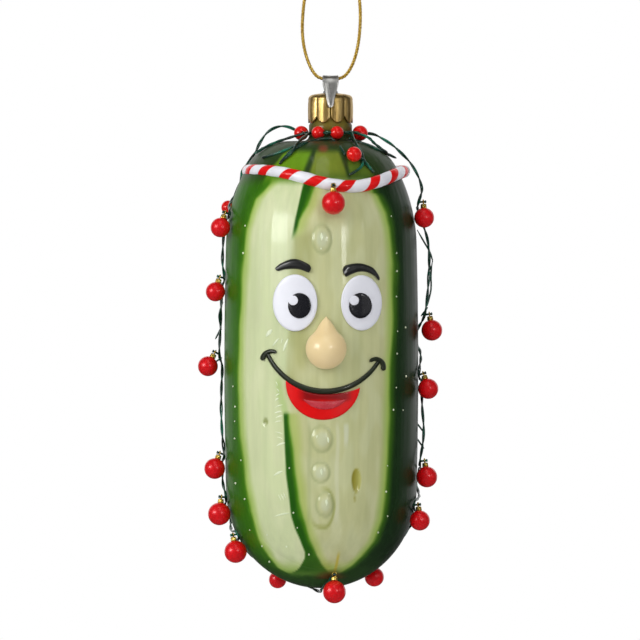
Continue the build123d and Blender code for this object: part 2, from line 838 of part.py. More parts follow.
right_route = garland_route(right_arch, right_baubles, right_runs, right_side)
with BuildPart() as right_garland_wire:
    add(tube(right_route, wire_radius, "right_garland_wire"))
    add_hooks(right_baubles)

with BuildPart() as band_hook:
    hook_start = hook_root + hook_out * bead_fit * 2
    add_stem(hook_start, front_bauble.eyelet + hook_out * hook_past)
    with Locations(front_bauble.eyelet + hook_out * hook_past):
        Sphere(hook_stop_radius)

pieces = {
    "hanging_cord": hanging_cord,
    "cord_knot": cord_knot,
    "bail": bail,
    "cap": cap,
    "cap_spring": cap_spring,
    "glass_body": glass_body,
    "headband": headband,
    "band_hook": band_hook,
    "left_eye": left_eye,
    "right_eye": right_eye,
    "left_pupil": left_pupil,
    "right_pupil": right_pupil,
    "left_brow": left_brow,
    "right_brow": right_brow,
    "nose": nose,
    "smile_line": smile_line,
    "mouth": mouth,
    "tongue": tongue,
    "crown_wire": crown_wire,
    "left_garland_wire": left_garland_wire,
    "right_garland_wire": right_garland_wire,
}

for name, (azimuth, radius) in ring_beads.items():
    with BuildPart() as bead:
        with Locations(on_ring(azimuth)):
            Sphere(radius)
        with Locations((0, 0, ring_level)):
            Torus(ring_radius, wire_radius + bead_fit, mode=Mode.SUBTRACT)
    pieces[name] = bead


def stem_bead(centre, radius, root):
    """A bead with a blind bore for the stem that it is pushed on to."""
    with BuildPart(Plane(centre, z_dir=root - centre)) as bead:
        Sphere(radius)
        with Locations((0, 0, radius - stem_depth - bead_fit)):
            Cylinder(
                hook_radius + bead_fit,
                radius,
                align=(Align.CENTER, Align.CENTER, Align.MIN),
                mode=Mode.SUBTRACT,
            )
    return bead


pieces["shoulder_bead"] = stem_bead(shoulder_bead_centre, shoulder_bead_radius, shoulder_stem_root)
pieces["side_bead"] = stem_bead(side_bead_centre, side_bead_radius, side_stem_root)

for bauble in left_baubles + right_baubles + [front_bauble]:
    with BuildPart(bauble.plane) as ball:
        Sphere(bauble.radius)
        with Locations((0, 0, bauble.radius - bauble_cap_wall)):
            Cylinder(
                bauble_pip_radius,
                bauble_cap_wall + bauble_pip_height,
                align=(Align.CENTER, Align.CENTER, Align.MIN),
            )
    with BuildPart(bauble.plane) as bauble_cap:
        with Locations((0, 0, bauble.radius - bauble_cap_wall)):
            Cylinder(
                bauble_cap_radius,
                bauble_cap_wall + bauble_cap_height,
                align=(Align.CENTER, Align.CENTER, Align.MIN),
            )
        with Locations((0, 0, bauble.radius + eyelet_rise)):
            Cylinder(eyelet_radius, eyelet_thickness, rotation=(0, 90, 0))
            Cylinder(
                hook_radius + eyelet_fit,
                eyelet_thickness * 2,
                rotation=(0, 90, 0),
                mode=Mode.SUBTRACT,
            )
        Sphere(bauble.radius + bauble_glue, mode=Mode.SUBTRACT)
        Cylinder(
            bauble_pip_radius + bauble_glue,
            bauble.radius + bauble_pip_height + bauble_glue,
            align=(Align.CENTER, Align.CENTER, Align.MIN),
            mode=Mode.SUBTRACT,
        )
    pieces[bauble.name + "_ball"] = ball
    pieces[bauble.name + "_cap"] = bauble_cap
    pin = [round(value, 3) for value in bauble.eyelet]
    axis = [round(value, 5) for value in bauble.axis]
    print(bauble.name, "eyelet", pin, "axis", axis, "hook", round((bauble.eyelet - bauble.root).length, 2))

os.makedirs("parts", exist_ok=True)
for name, piece in pieces.items():
    piece.part.label = name
    export_step(piece.part, f"parts/{name}.step")
    print(name, len(piece.part.solids()), round(piece.part.volume, 2), piece.part.is_valid)
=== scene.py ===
import json
import math
import bmesh
import bpy
from mathutils import Matrix, Vector, noise


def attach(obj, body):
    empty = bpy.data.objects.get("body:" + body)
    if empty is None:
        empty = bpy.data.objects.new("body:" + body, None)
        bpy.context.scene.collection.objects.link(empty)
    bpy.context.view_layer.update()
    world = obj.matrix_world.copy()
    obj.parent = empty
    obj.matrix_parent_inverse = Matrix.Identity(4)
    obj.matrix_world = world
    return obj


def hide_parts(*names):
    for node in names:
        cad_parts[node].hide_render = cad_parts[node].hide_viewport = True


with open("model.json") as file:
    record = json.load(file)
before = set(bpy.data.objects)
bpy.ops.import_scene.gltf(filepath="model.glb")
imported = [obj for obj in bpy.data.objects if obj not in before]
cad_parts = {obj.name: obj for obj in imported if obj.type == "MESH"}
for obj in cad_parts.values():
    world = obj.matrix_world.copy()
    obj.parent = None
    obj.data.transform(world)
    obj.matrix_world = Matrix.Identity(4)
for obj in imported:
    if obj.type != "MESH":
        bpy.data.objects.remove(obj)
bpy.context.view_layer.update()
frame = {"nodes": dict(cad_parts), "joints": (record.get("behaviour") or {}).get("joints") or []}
mm = 0.001
fullTurn = 2 * math.pi
print("frame loaded:", len(frame["nodes"]), "nodes")


def linear(r, g, b):  # a colour written as 0 to 255, for a shader
    def part(c):
        c /= 255
        return c / 12.92 if c <= 0.04045 else ((c + 0.055) / 1.055) ** 2.4

    return (part(r), part(g), part(b), 1.0)


def mixColour(a, b, share):
    share = min(1.0, max(0.0, share))
    return tuple(p + (q - p) * share for p, q in zip(a, b))


def step(low, high, value):  # soft rise from 0 at low to 1 at high, which may be the smaller
    t = min(1.0, max(0.0, (value - low) / (high - low)))
    return t * t * (3 - 2 * t)


def window(value, rise, full, fade, gone):  # 1 from full to fade, 0 before rise and past gone
    return step(rise, full, value) * step(gone, fade, value)


def along(table, value):  # straight-line reading of a short list of pairs
    if value <= table[0][0]:
        return table[0][1]
    for (a, p), (b, q) in zip(table, table[1:]):
        if value <= b:
            return p + (q - p) * (value - a) / (b - a)
    return table[-1][1]


def turnsOf(count):  # equal turns of one round
    return [fullTurn * k / count for k in range(count)]


def pairs(count):  # neighbours round a ring
    return [(k, (k + 1) % count) for k in range(count)]


def placed(name, data):
    made = bpy.data.objects.new(name, data)
    bpy.context.scene.collection.objects.link(made)
    return made


def evaluated(holder):  # a plain mesh of what the holder's curve or modifiers make
    bpy.context.view_layer.update()
    return bpy.data.meshes.new_from_object(holder.evaluated_get(bpy.context.evaluated_depsgraph_get()))


def meshOf(name, verts, faces):  # points in millimetres, faces turned outward
    mesh = bpy.data.meshes.new(name)
    mesh.from_pydata([Vector(v) * mm for v in verts], [], faces)
    work = bmesh.new()
    work.from_mesh(mesh)
    bmesh.ops.recalc_face_normals(work, faces=work.faces)
    work.to_mesh(mesh)
    work.free()
    mesh.update()
    mesh.shade_smooth()
    return mesh


def newPiece(name, verts, faces):
    return placed(name, meshOf(name, verts, faces))


def dress(piece, body, slot, *replaced):
    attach(piece, body)
    if replaced:
        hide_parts(*replaced)
    return piece


def finishPiece(piece, finish, body, slot, *replaced):
    piece.data.materials.append(finish)
    return dress(piece, body, slot, *replaced)


def addPiece(name, shape, finish, body, slot, *replaced):
    return finishPiece(newPiece(name, *shape), finish, body, slot, *replaced)


def joined(*parts):  # several (verts, faces) as one
    verts, faces = [], []
    for v, f in parts:
        base = len(verts)
        verts += list(v)
        faces += [[i + base for i in face] for face in f]
    return verts, faces


def moved(part, matrix):
    return [matrix @ Vector(v) for v in part[0]], part[1]


def skin(rings, size, closed=False, ends=True):  # faces over rings of points that follow each other
    faces = []
    for i in range(rings if closed else rings - 1):
        a, b = i * size, (i + 1) % rings * size
        faces += [[a + k, a + n, b + n, b + k] for k, n in pairs(size)]
    if ends and not closed:
        faces += [list(range(size))[::-1], [(rings - 1) * size + k for k in range(size)]]
    return faces


def poledSkin(rings, size):  # the same, with a single point before and after
    faces = [[i + 1 for i in face] for face in skin(rings, size, ends=False)]
    last, top = 1 + (rings - 1) * size, 1 + rings * size
    for k, n in pairs(size):
        faces += [[0, 1 + n, 1 + k], [last + k, last + n, top]]
    return faces


def lathe(profile, sides):  # (radius, height) from bottom to top, both ends on the axis
    verts = [(0, 0, profile[0][1])]
    for r, z in profile[1:-1]:
        verts += [(r * math.cos(t), r * math.sin(t), z) for t in turnsOf(sides)]
    verts.append((0, 0, profile[-1][1]))
    return verts, poledSkin(len(profile) - 2, sides)


def tube(points, radius, sides, closed=False):  # radius is a number or a function of (point number, turn)
    points = [Vector(p) for p in points]
    count = len(points)
    verts, normal = [], None
    for i, p in enumerate(points):
        before = points[i - 1] if i or closed else p
        after = points[(i + 1) % count] if i < count - 1 or closed else p
        way = (after - before).normalized()
        if normal is None:
            normal = way.orthogonal().normalized()
        normal = (normal - way * normal.dot(way)).normalized()
        side = way.cross(normal)
        for turn in turnsOf(sides):
            r = radius(i, turn) if callable(radius) else radius
            verts.append(p + (normal * math.cos(turn) + side * math.sin(turn)) * r)
    return verts, skin(count, sides, closed)


def addNode(tree, kind, settings=None, **inputs):  # inputs by name, or as i0, i1 by number
    made = tree.nodes.new(kind)
    for key, value in (settings or {}).items():
        setattr(made, key, value)
    for key, value in inputs.items():
        socket = made.inputs[int(key[1:]) if key[1:].isdigit() else key.replace("_", " ")]
        if isinstance(value, bpy.types.NodeSocket):
            tree.links.new(value, socket)
        else:
            socket.default_value = value
    return made


class Finish:  # a material and the few node calls that every finish uses
    def __init__(self, name, **shader):
        self.material = bpy.data.materials.new(name)
        self.material.use_nodes = True
        self.tree = self.material.node_tree
        self.shader = self.tree.nodes["Principled BSDF"]
        for socket, value in shader.items():
            self.shader.inputs[socket.replace("_", " ")].default_value = value

    def add(self, kind, settings=None, **inputs):
        return addNode(self.tree, kind, settings, **inputs)

    def wire(self, output, *sockets):
        for socket in sockets:
            self.tree.links.new(output, self.shader.inputs[socket])

    def attribute(self, name, output):
        return self.add("ShaderNodeAttribute", {"attribute_name": name}).outputs[output]

    def place(self, scale=(1, 1, 1)):  # object coordinates, stretched
        spot = self.add("ShaderNodeTexCoord").outputs["Object"]
        return self.add("ShaderNodeMapping", Vector=spot, Scale=scale).outputs["Vector"]

    def noise(self, vector, scale, detail=3.0, rough=0.5):
        made = self.add("ShaderNodeTexNoise", Vector=vector, Scale=scale, Detail=detail, Roughness=rough)
        return made.outputs["Fac"]

    def ramp(self, factor, *stops):  # stops as (place, shader colour)
        made = self.add("ShaderNodeValToRGB", Fac=factor)
        band = made.color_ramp
        while len(band.elements) < len(stops):
            band.elements.new(0.5)
        for element, (spot, colour) in zip(band.elements, stops):
            element.position = spot
            element.color = colour
        return made.outputs["Color"]

    def tones(self, factor, *stops):  # the same with colours written as 0 to 255
        return self.ramp(factor, *[(spot, linear(*colour)) for spot, colour in stops])

    def span(self, value, low, high, toLow=0.0, toHigh=1.0, kind="LINEAR"):
        made = self.add("ShaderNodeMapRange", {"interpolation_type": kind}, Value=value,
                        From_Min=low, From_Max=high, To_Min=toLow, To_Max=toHigh)
        return made.outputs[0]

    def mix(self, factor, a, b, blend="MIX"):
        settings = {"data_type": "RGBA", "blend_type": blend}
        return self.add("ShaderNodeMix", settings, i0=factor, i6=a, i7=b).outputs[2]

    def math(self, operation, a, b=0.0):
        return self.add("ShaderNodeMath", {"operation": operation}, i0=a, i1=b).outputs[0]

    def bump(self, height, strength, distance, *also):
        made = self.add("ShaderNodeBump", Height=height, Strength=strength, Distance=distance)
        self.wire(made.outputs[0], "Normal", *also)


lacquer = 1.45  # refraction of every clear coat


def paintedFinish(name, colour, other, scale, rough, coat, bump=0.0, coatRough=0.06):  # one paint, finely varied
    made = Finish(name, Roughness=rough, Specular_IOR_Level=0.3, Coat_Weight=coat, Coat_Roughness=coatRough,
                  Coat_IOR=lacquer)
    spot = made.place()
    made.wire(made.tones(made.noise(spot, scale, 4.0), (0.15, colour), (0.85, other)), "Base Color")
    grain = made.noise(spot, scale * 6)
    made.wire(made.span(grain, 0.3, 0.7, rough * 0.85, rough * 1.2), "Roughness")
    if bump:
        made.bump(grain, bump, 0.0002)
    return made.material


def metalFinish(name, colour, other, rough, scale, bump):
    made = Finish(name, Metallic=1.0, Roughness=rough)
    lines = made.noise(made.place(), scale, 4.0, 0.6)
    made.wire(made.tones(lines, (0.3, other), (0.7, colour)), "Base Color")
    made.wire(made.span(lines, 0.25, 0.75, rough * 1.3, rough * 0.8), "Roughness")
    made.bump(lines, bump, 0.0001)
    return made.material


def cloudFinish(name, scale, detail, stops, bump=None, **shader):  # a cloud of tones; bump as (scale, strength)
    made = Finish(name, **shader)
    spot = made.place()
    made.wire(made.tones(made.noise(spot, scale, detail), *stops), "Base Color")
    if bump:
        made.bump(made.noise(spot, bump[0], 2.0), bump[1], 0.0002)
    return made.material


# the glass has the same sizes as its solid
glassShape = {
    "axis": -2.3,
    "neckTop": -35.25,
    "neckMiddle": -38.0,
    "neckRadius": 4.75,
    "neckStep": -41.05,
    "neckBase": 5.4,
    "neckLevels": (-44.0, -43.2, -42.35),
    "flare": 1.5,
    "lidLift": 0.12,
    "domeRadius": 9.5,
    "domeLevel": -46.35,
    "shoulderRadius": 18.6,
    "shoulderLevel": -52.55,
    "bellyTop": -71.95,
    "bellyBottom": -132.95,
    "bellyRadius": 24.25,
    "bellySag": 0.4,
    "bottomDepth": 25.1,
}
axisX = glassShape["axis"]
domeLevel = glassShape["domeLevel"]
bottomLevel = glassShape["bellyBottom"] - glassShape["bottomDepth"]
bellyEnd = glassShape["bellyRadius"] - glassShape["bellySag"]


def tangentCircle(start, tangent, end):
    across = Vector((-tangent.y, tangent.x))
    chord = end - start
    turn = chord.dot(chord) / (2 * chord.dot(across))
    return start + across * turn, abs(turn)


def glassCurves():
    g = glassShape
    half = (g["bellyTop"] - g["bellyBottom"]) / 2
    barrel = (half**2 + g["bellySag"] ** 2) / (2 * g["bellySag"])
    slope = math.asin(half / barrel)
    shoulder = Vector((g["shoulderRadius"], g["shoulderLevel"]))
    rise = tangentCircle(Vector((bellyEnd, g["bellyTop"])), Vector((-math.sin(slope), math.cos(slope))), shoulder)
    arm = (shoulder - rise[0]) / rise[1]
    return barrel, rise, tangentCircle(shoulder, Vector((-arm.y, arm.x)), Vector((g["domeRadius"], domeLevel)))


barrelRadius, riseCircle, crownCircle = glassCurves()


def glassRadius(level):
    g = glassShape
    if level < g["bellyBottom"]:
        share = min(1.0, (g["bellyBottom"] - level) / g["bottomDepth"])
        return bellyEnd * math.sqrt(1 - share**2)
    if level < g["bellyTop"]:
        middle = (g["bellyTop"] + g["bellyBottom"]) / 2
        return g["bellyRadius"] - barrelRadius + math.sqrt(barrelRadius**2 - (level - middle) ** 2)
    centre, radius = riseCircle if level < g["shoulderLevel"] else crownCircle
    return centre.x + math.sqrt(max(0.0, radius**2 - (level - centre.y) ** 2))


def glassSlope(level):
    return (glassRadius(level + 0.01) - glassRadius(level - 0.01)) / 0.02


def onGlass(level, azimuth, off):
    slope = glassSlope(level)
    square = math.hypot(1, slope)
    reach = glassRadius(level) + off / square
    turn = math.radians(azimuth)
    return Vector((axisX + reach * math.cos(turn), -reach * math.sin(turn), level - off * slope / square))


def frontOfGlass(x, z, off):  # the point over the front of the glass, seen straight on
    reach = glassRadius(z) + off
    return Vector((x, -math.sqrt(max(0.01, reach**2 - (x - axisX) ** 2)), z))


def belowDome(drop):
    return domeLevel - drop


pictureFrame = {"pixel": 0.25, "column": 330.5, "row": -44}  # millimetres to a pixel, and the origin's place


def picture(column, row):  # a place in the photograph's frame as x and z
    f = pictureFrame
    return (column - f["column"]) * f["pixel"], (f["row"] - row) * f["pixel"]


def pixelAt(x, z):
    f = pictureFrame
    return x / f["pixel"] + f["column"], f["row"] - z / f["pixel"]


# the painted pickle: edges as (row, column), ovals as (column, row, half width, half height)
pickle = {
    "frontSides": 282,  # finer where it is seen
    "backSides": 110,
    "neckRow": 133,
    "domeRows": (170, 190),
    "fleshRows": (176, 188, 568, 577),
    "seamRows": (228, 240, 385, 402),
    "stripGap": ((243, 226), (410, 415)),  # where the strip fades behind the face and comes back
    "rings": {"bottom": 56, "belly": 112, "shoulder": 40, "crown": 20, "lid": 5, "flare": 6},
    "fleshLeft": [
        (183, 272), (186, 270), (200, 257), (214, 251.5), (229, 247.5), (264, 244), (330, 240), (390, 239),
        (435, 240.5), (480, 246), (510, 251), (540, 260.5), (555, 269), (566, 279), (573, 290),
    ],
    "fleshRight": [
        (193, 372), (196, 377), (214, 385), (229, 388.5), (264, 392), (330, 391), (390, 388.5), (435, 388),
        (465, 386), (495, 384), (517, 381), (540, 373), (555, 361), (565, 350), (573, 337),
    ],
    "stripLeft": [
        (184, 305), (188, 304), (207, 299), (221, 295.5), (240, 292), (400, 283), (413, 283.9), (443, 285.3),
        (472, 286.7), (500, 290.3), (515, 291.8), (526, 295), (539, 301), (550, 305.5), (556, 305.8),
        (562, 303), (567, 299), (571, 293), (574, 284),
    ],
    "stripRight": [
        (184, 315), (188, 314), (207, 308), (221, 300), (240, 294), (400, 287), (413, 289.6), (443, 292.5),
        (472, 295.3), (500, 299.7), (515, 303), (538, 309.7), (552, 315.4), (562, 321), (571.5, 328.5), (576, 334),
    ],
    "wedges": [  # left edge, right edge and tone
        ([(148, 292), (156, 282), (171, 270), (185, 262)], [(146, 313), (171, 305), (190, 301)], (104, 146, 26)),
        ([(146, 317), (171, 310), (190, 306)], [(148, 338), (171, 345), (188, 350)], (116, 132, 42)),
        ([(158, 347), (172, 349), (188, 352)], [(158, 352), (172, 371), (188, 380)], (98, 126, 40)),
    ],
    "seeds": [  # ovals, with the height of each
        (322, 240, 10, 14, 0.45),
        (321.5, 438, 10.5, 13, 0.6),
        (321, 471, 9, 10, 0.5),
        (325, 503, 8.5, 12, 0.6),
    ],
    "redGlow": (323, 149, 7, 6),
    "hollow": (322, 506, 12.5, 20),
    "slot": (356, 479, 4.6, 12.5),
    "slotDepth": 0.28,
    "dimple": (266, 421, 3.0, 4.0),
    "dimpleSink": (266, 421, 3.2, 4.2),
    "dimpleDepth": 0.3,
    "brownEnd": (330, 577, 17, 8),
    # soft lines: (row, column) places, half width where it ends and where it is full, rows, tone, strength
    "stain": ([(370, 278), (395, 281), (413, 286)], 5.5, 1.0, (372, 384, 414, 440), (150, 186, 96), 0.4),
    "streaks": [
        ([(0, 309.5)], 3.0, 0.5, (418, 428, 512, 528), (166, 174, 128), 0.4),
        ([(0, 337)], 3.0, 0.5, (418, 428, 512, 528), (210, 212, 178), 0.7),
        # painted reflection: a pale streak right of the channel
        ([(0, 345.5)], 3.5, 1.0, (420, 426, 438, 450), (214, 218, 192), 0.8),
        # a yellow streak above the bottom bauble: partly a painted reflection of that bauble, partly a yellow mark
        ([(550, 338.5), (575, 333.5)], 2.2, 0.6, (548, 556, 640, 650), (196, 176, 60), 0.7),
        ([(0, 354.2)], 1.6, 0.5, (492, 496, 497, 502), (158, 150, 70), 0.7),
    ],
    # noise over the paint: stretch, detail, roughness, strength, dark and light stops
    "mottle": [
        ((420, 420, 26), 4.0, 0.6, 0.5, (0.25, (0.78, 0.8, 0.74, 1)), (0.75, (1.12, 1.1, 1.1, 1))),
        ((130, 130, 60), 3.0, 0.5, 0.35, (0.3, (0.8, 0.84, 0.75, 1)), (0.7, (1.1, 1.08, 1.1, 1))),
        ((520, 520, 260), 3.0, 0.5, 0.45, (0.35, (0.74, 0.82, 0.7, 1)), (0.68, (1.16, 1.1, 1.1, 1))),
    ],
}
pickleTones = {
    "paleLeft": (206, 216, 170),
    "paleRight": (196, 198, 149),
    "paleStreak": (212, 216, 178),
    "seam": (164, 166, 108),
    "lime": (158, 188, 88),
    "limeRim": (82, 136, 20),
    # rind tones: the left one painted lit, the right one painted in shade
    "rindLitLeft": (52, 109, 8),
    "rindShadedRight": (27, 54, 25),
    "bottomGreen": (44, 82, 28),
    "backDark": (27, 62, 22),
    "backPale": (58, 104, 34),
    "backCrown": (60, 84, 34),
    "dome": (44, 66, 30),
    "domeLeft": (54, 74, 46),
    "domeTop": (52, 62, 32),
    "redGlow": (144, 62, 44),
    "stripDark": (34, 88, 12),
    "stripLight": (88, 142, 24),
    "stripLow": (60, 106, 26),
    "stripLit": (158, 180, 76),
    "hollowRim": (152, 158, 84),
    "slotDark": (150, 142, 48),
    "slotLight": (178, 176, 96),
    "dimple": (140, 150, 92),
    "seedRing": (168, 176, 128),
    "seed": (206, 214, 190),
    "brownEnd": (112, 64, 20),
    "neck": (118, 104, 40),
    "neckEdge": (58, 62, 42),
}


def ovalShare(column, row, oval):  # 0 at the middle of an oval, 1 on its edge
    return math.hypot((column - oval[0]) / oval[2], (row - oval[1]) / oval[3])


def streaked(colour, column, row, streak):
    line, outer, inner, rows, tone, strength = streak
    return mixColour(colour, tone, step(outer, inner, abs(column - along(line, row))) * window(row, *rows) * strength)


def backPaint(row, lean, sway, rind):  # the unseen back carries on as plain rind with faint pale stripes
    t = pickleTones
    stripe = 0.5 + 0.5 * math.cos(math.radians(lean) * 7 + sway)
    back = mixColour(t["backDark"], t["backPale"], stripe**3 * 0.8)
    # the sides of the back take the front's rind, with its painted light and shade
    back = mixColour(back, rind, step(-125, -95, -abs(lean)))
    crown = mixColour(back, t["backCrown"], step(170, 140, row))
    return mixColour(crown, back, step(*pickle["domeRows"], row))


def domePaint(column, row, lean):  # wedges that run out from the neck
    t = pickleTones
    dome = mixColour(t["dome"], t["domeLeft"], step(40, 70, -lean))
    for nearEdge, farEdge, tone in pickle["wedges"]:
        near, far = along(nearEdge, row), along(farEdge, row)
        dome = mixColour(dome, tone, window(column, near - 2, near + 2, far - 2, far + 2) * step(148, 156, row))
    dome = mixColour(dome, t["redGlow"], step(1.1, 0.2, ovalShare(column, row, pickle["redGlow"])) * 0.75)
    return mixColour(dome, t["domeTop"], step(150, 140, row) * 0.85)


def fleshPaint(colour, column, row, sway):  # the two cut faces, with the green strip between them
    p, t = pickle, pickleTones
    leftEdge, rightEdge = along(p["fleshLeft"], row), along(p["fleshRight"], row)
    ends = window(row, *p["fleshRows"])
    flesh = window(column, leftEdge - 2.5, leftEdge + 1.5, rightEdge - 1.5, rightEdge + 3) * ends
    green = window(column, leftEdge - 8, leftEdge - 1, rightEdge + 2, rightEdge + 9) * ends
    colour = mixColour(colour, t["limeRim"], green * (0.3 if column < 320 else 0.6))
    seam = along(p["stripLeft"], min(row, 545))
    pale = mixColour(t["paleLeft"], t["paleRight"], step(seam, seam + 13, column))
    olive = window(column, seam - 1, seam + 5, seam + 12, seam + 28) * window(row, *p["seamRows"])
    pale = mixColour(pale, t["seam"], olive * 0.6)  # the seam shows darker behind the face
    pale = mixColour(pale, t["paleStreak"], 0.35 * step(0.1, 0.6, sway + 0.3))
    fade = window(column, leftEdge - 1, leftEdge + 9, rightEdge - 9, rightEdge + 1) * step(574, 556, row)
    colour = mixColour(colour, mixColour(t["lime"], pale, fade), flesh)
    shade = (1 - flesh) * (0.3 + 0.7 * max(step(14, 4, leftEdge - column), step(16, 4, column - rightEdge)))
    colour = streaked(colour, column, row, p["stain"])
    strong = min(1.0, sum(step(*edge, row) for edge in p["stripGap"]))
    left, right = along(p["stripLeft"], row), along(p["stripRight"], row)
    strip = window(column, left - 1.2, left + 0.8, right - 1.5, right + 2.5) * strong * ends
    tone = mixColour(t["stripDark"], t["stripLight"], step(left + (right - left) * 0.4, right + 1, column))
    tone = mixColour(tone, t["stripLow"], step(540, 560, row) * 0.8)
    lit = window(column, right - 1, right + 2, right + 2, right + 13) * strong * flesh
    colour = mixColour(mixColour(colour, t["stripLit"], lit * 0.6), tone, strip)
    return fleshMarks(colour, column, row), max(shade, strip)


def fleshMarks(colour, column, row):  # channel, other streaks (one a painted reflection, one partly one), hollow, slot, dimple, seeds and the brown end
    p, t = pickle, pickleTones
    for streak in p["streaks"]:
        colour = streaked(colour, column, row, streak)
    rim = window(ovalShare(column, row, p["hollow"]), 0.78, 0.98, 1.0, 1.16)
    colour = mixColour(colour, t["hollowRim"], rim * step(-6, 8, column - 318 + (row - p["hollow"][1]) * 0.3) * 0.7)
    tone = mixColour(t["slotDark"], t["slotLight"], step(-3, 4, column - p["slot"][0]))
    colour = mixColour(colour, tone, step(1.08, 0.85, ovalShare(column, row, p["slot"])) * 0.9)
    colour = mixColour(colour, t["dimple"], step(1.1, 0.6, ovalShare(column, row, p["dimple"])) * 0.8)
    for seed in p["seeds"]:
        ring = ovalShare(column, row, seed)
        colour = mixColour(colour, t["seedRing"], window(ring, 0.75, 0.95, 1.0, 1.2) * 0.55)
        colour = mixColour(colour, t["seed"], step(0.8, 0.3, ring) * 0.5)
    return mixColour(colour, t["brownEnd"], step(1.2, 0.3, ovalShare(column, row, p["brownEnd"])) * 0.8)


def paintPickle(x, y, z):  # colour and rind share at a place on the glass
    t = pickleTones
    column, row = pixelAt(x, z)
    sway = noise.noise(Vector((x * 0.35, z * 0.12, 3.0)))
    column += sway * 1.6
    lean = math.degrees(math.atan2(x - axisX, -y))
    # painted light and shade: the rind is lighter on the left and darker on the right, as light falls from the left
    rind = mixColour(t["rindLitLeft"], t["rindShadedRight"], step(-40, 40, lean))
    shade = 0.0
    if y > 0:
        colour = backPaint(row, lean, sway, rind)
    else:
        low = mixColour(rind, t["bottomGreen"], step(545, 585, row))
        colour = mixColour(domePaint(column, row, lean), low, step(*pickle["domeRows"], row))
        if pickle["fleshRows"][0] < row < pickle["fleshRows"][3] + 1:
            colour, shade = fleshPaint(colour, column, row, sway)
    if row < pickle["neckRow"]:  # the clear neck shows a brownish olive
        colour = mixColour(colour, t["neck"], step(136, 128, row))
        colour = mixColour(colour, t["neckEdge"], step(0.55, 0.95, abs(x) / 5.5) * 0.6)
    return linear(*colour), shade


def swell(x, y, z):  # seeds stand out of the glass, the slot and the dimple sink in
    if y > 0:
        return 0.0
    column, row = pixelAt(x, z)
    rise = 0.0
    for seed in pickle["seeds"]:
        ring = ovalShare(column, row, seed)
        if ring < 1.35:
            rise += seed[4] * max(0.0, 1 - ring**2) - 0.12 * window(ring, 0.85, 1.0, 1.1, 1.35)
    rise -= pickle["slotDepth"] * step(1.1, 0.5, ovalShare(column, row, pickle["slot"]))
    return rise - pickle["dimpleDepth"] * step(1.2, 0.3, ovalShare(column, row, pickle["dimpleSink"]))


def shares(count):
    return [k / count for k in range(1, count + 1)]


def glassRings():  # (centre x, radius, level) from the bottom pole to the neck's rim
    g, count = glassShape, pickle["rings"]
    rings = []
    for s in shares(count["bottom"]):
        turn = math.radians(90 - 90 * s)
        rings.append((axisX, bellyEnd * math.cos(turn), g["bellyBottom"] - g["bottomDepth"] * math.sin(turn)))
    for low, high, part in (("bellyBottom", "bellyTop", "belly"), ("bellyTop", "shoulderLevel", "shoulder")):
        for s in shares(count[part]):
            level = g[low] + (g[high] - g[low]) * s
            rings.append((axisX, glassRadius(level), level))
    centre, radius = crownCircle
    start = math.atan2(g["shoulderLevel"] - centre.y, g["shoulderRadius"] - centre.x)
    end = math.atan2(domeLevel - centre.y, g["domeRadius"] - centre.x)
    for s in shares(count["crown"]):
        turn = start + (end - start) * s
        rings.append((axisX, centre.x + radius * math.cos(turn), centre.y + radius * math.sin(turn)))
    foot, lift = g["neckBase"] + g["flare"], g["lidLift"]
    for s in shares(count["lid"]):
        rings.append((axisX * (1 - s), g["domeRadius"] + (foot - g["domeRadius"]) * s, domeLevel + lift * s))
    for s in shares(count["flare"]):
        turn = math.radians(90 * s)
        level = domeLevel + lift + (g["flare"] - lift) * (1 - math.cos(turn))
        rings.append((0, foot - g["flare"] * math.sin(turn), level))
    rings += [(0, g["neckBase"], level) for level in g["neckLevels"]]
    return rings + [(0, g["neckRadius"], g[name]) for name in ("neckStep", "neckMiddle", "neckTop")]


def makePickle():
    front, back = pickle["frontSides"], pickle["backSides"]
    turns = [math.pi * k / front for k in range(front)] + [math.pi + math.pi * k / back for k in range(back)]
    sides = front + back
    rings = glassRings()
    verts = [(axisX, 0, bottomLevel)]
    for cx, radius, level in rings:
        for turn in turns:
            x, y = cx + radius * math.cos(turn), -radius * math.sin(turn)
            grow = swell(x, y, level)
            verts.append((x + grow * math.cos(turn), y - grow * math.sin(turn), level))
    faces = [[0, 1 + k, 1 + n] for k, n in pairs(sides)]
    for a in range(1, 1 + (len(rings) - 1) * sides, sides):
        faces += [[a + n, a + k, a + sides + k, a + sides + n] for k, n in pairs(sides)]
    last = 1 + (len(rings) - 1) * sides
    faces.append([last + k for k in range(sides)][::-1])
    piece = newPiece("pickleGlass", verts, faces)
    colours, rinds = [], []
    for place in verts:
        colour, rind = paintPickle(*place)
        colours += colour
        rinds.append(rind)
    piece.data.attributes.new("paint", "FLOAT_COLOR", "POINT").data.foreach_set("color", colours)
    piece.data.attributes.new("rind", "FLOAT", "POINT").data.foreach_set("value", rinds)
    return piece


def pickleFinish():
    made = Finish("pickleGlassPaint", Roughness=0.5, Specular_IOR_Level=0.04, Coat_Weight=0.65, Coat_IOR=lacquer)
    paint, rind = made.attribute("paint", "Color"), made.attribute("rind", "Fac")
    streaks, blotches, mottle = pickle["mottle"]
    onRind = made.math("MULTIPLY", rind, mottle[3])
    for layer, share in ((streaks, streaks[3]), (blotches, blotches[3]), (mottle, onRind)):
        stretch, detail, rough, _, dark, light = layer
        grain = made.noise(made.place(stretch), 1.0, detail, rough)
        paint = made.mix(share, paint, made.ramp(grain, dark, light), "MULTIPLY")
    made.wire(paint, "Base Color")
    facing = made.add("ShaderNodeLayerWeight", Blend=0.5).outputs["Facing"]
    made.wire(made.span(facing, 0.2, 0.6, 0.15, 0.42), "Coat Roughness")  # neighbours show only as a blur near the rim
    ripple = made.noise(made.place((260, 260, 14)), 1.0, 2.0)
    made.bump(ripple, 0.32, 0.0007, "Coat Normal")
    return made.material


pickleGlass = finishPiece(makePickle(), pickleFinish(), "ornament", "pickle_glass", "glass_body")
print("pickle painted:", len(pickleGlass.data.vertices), "points")


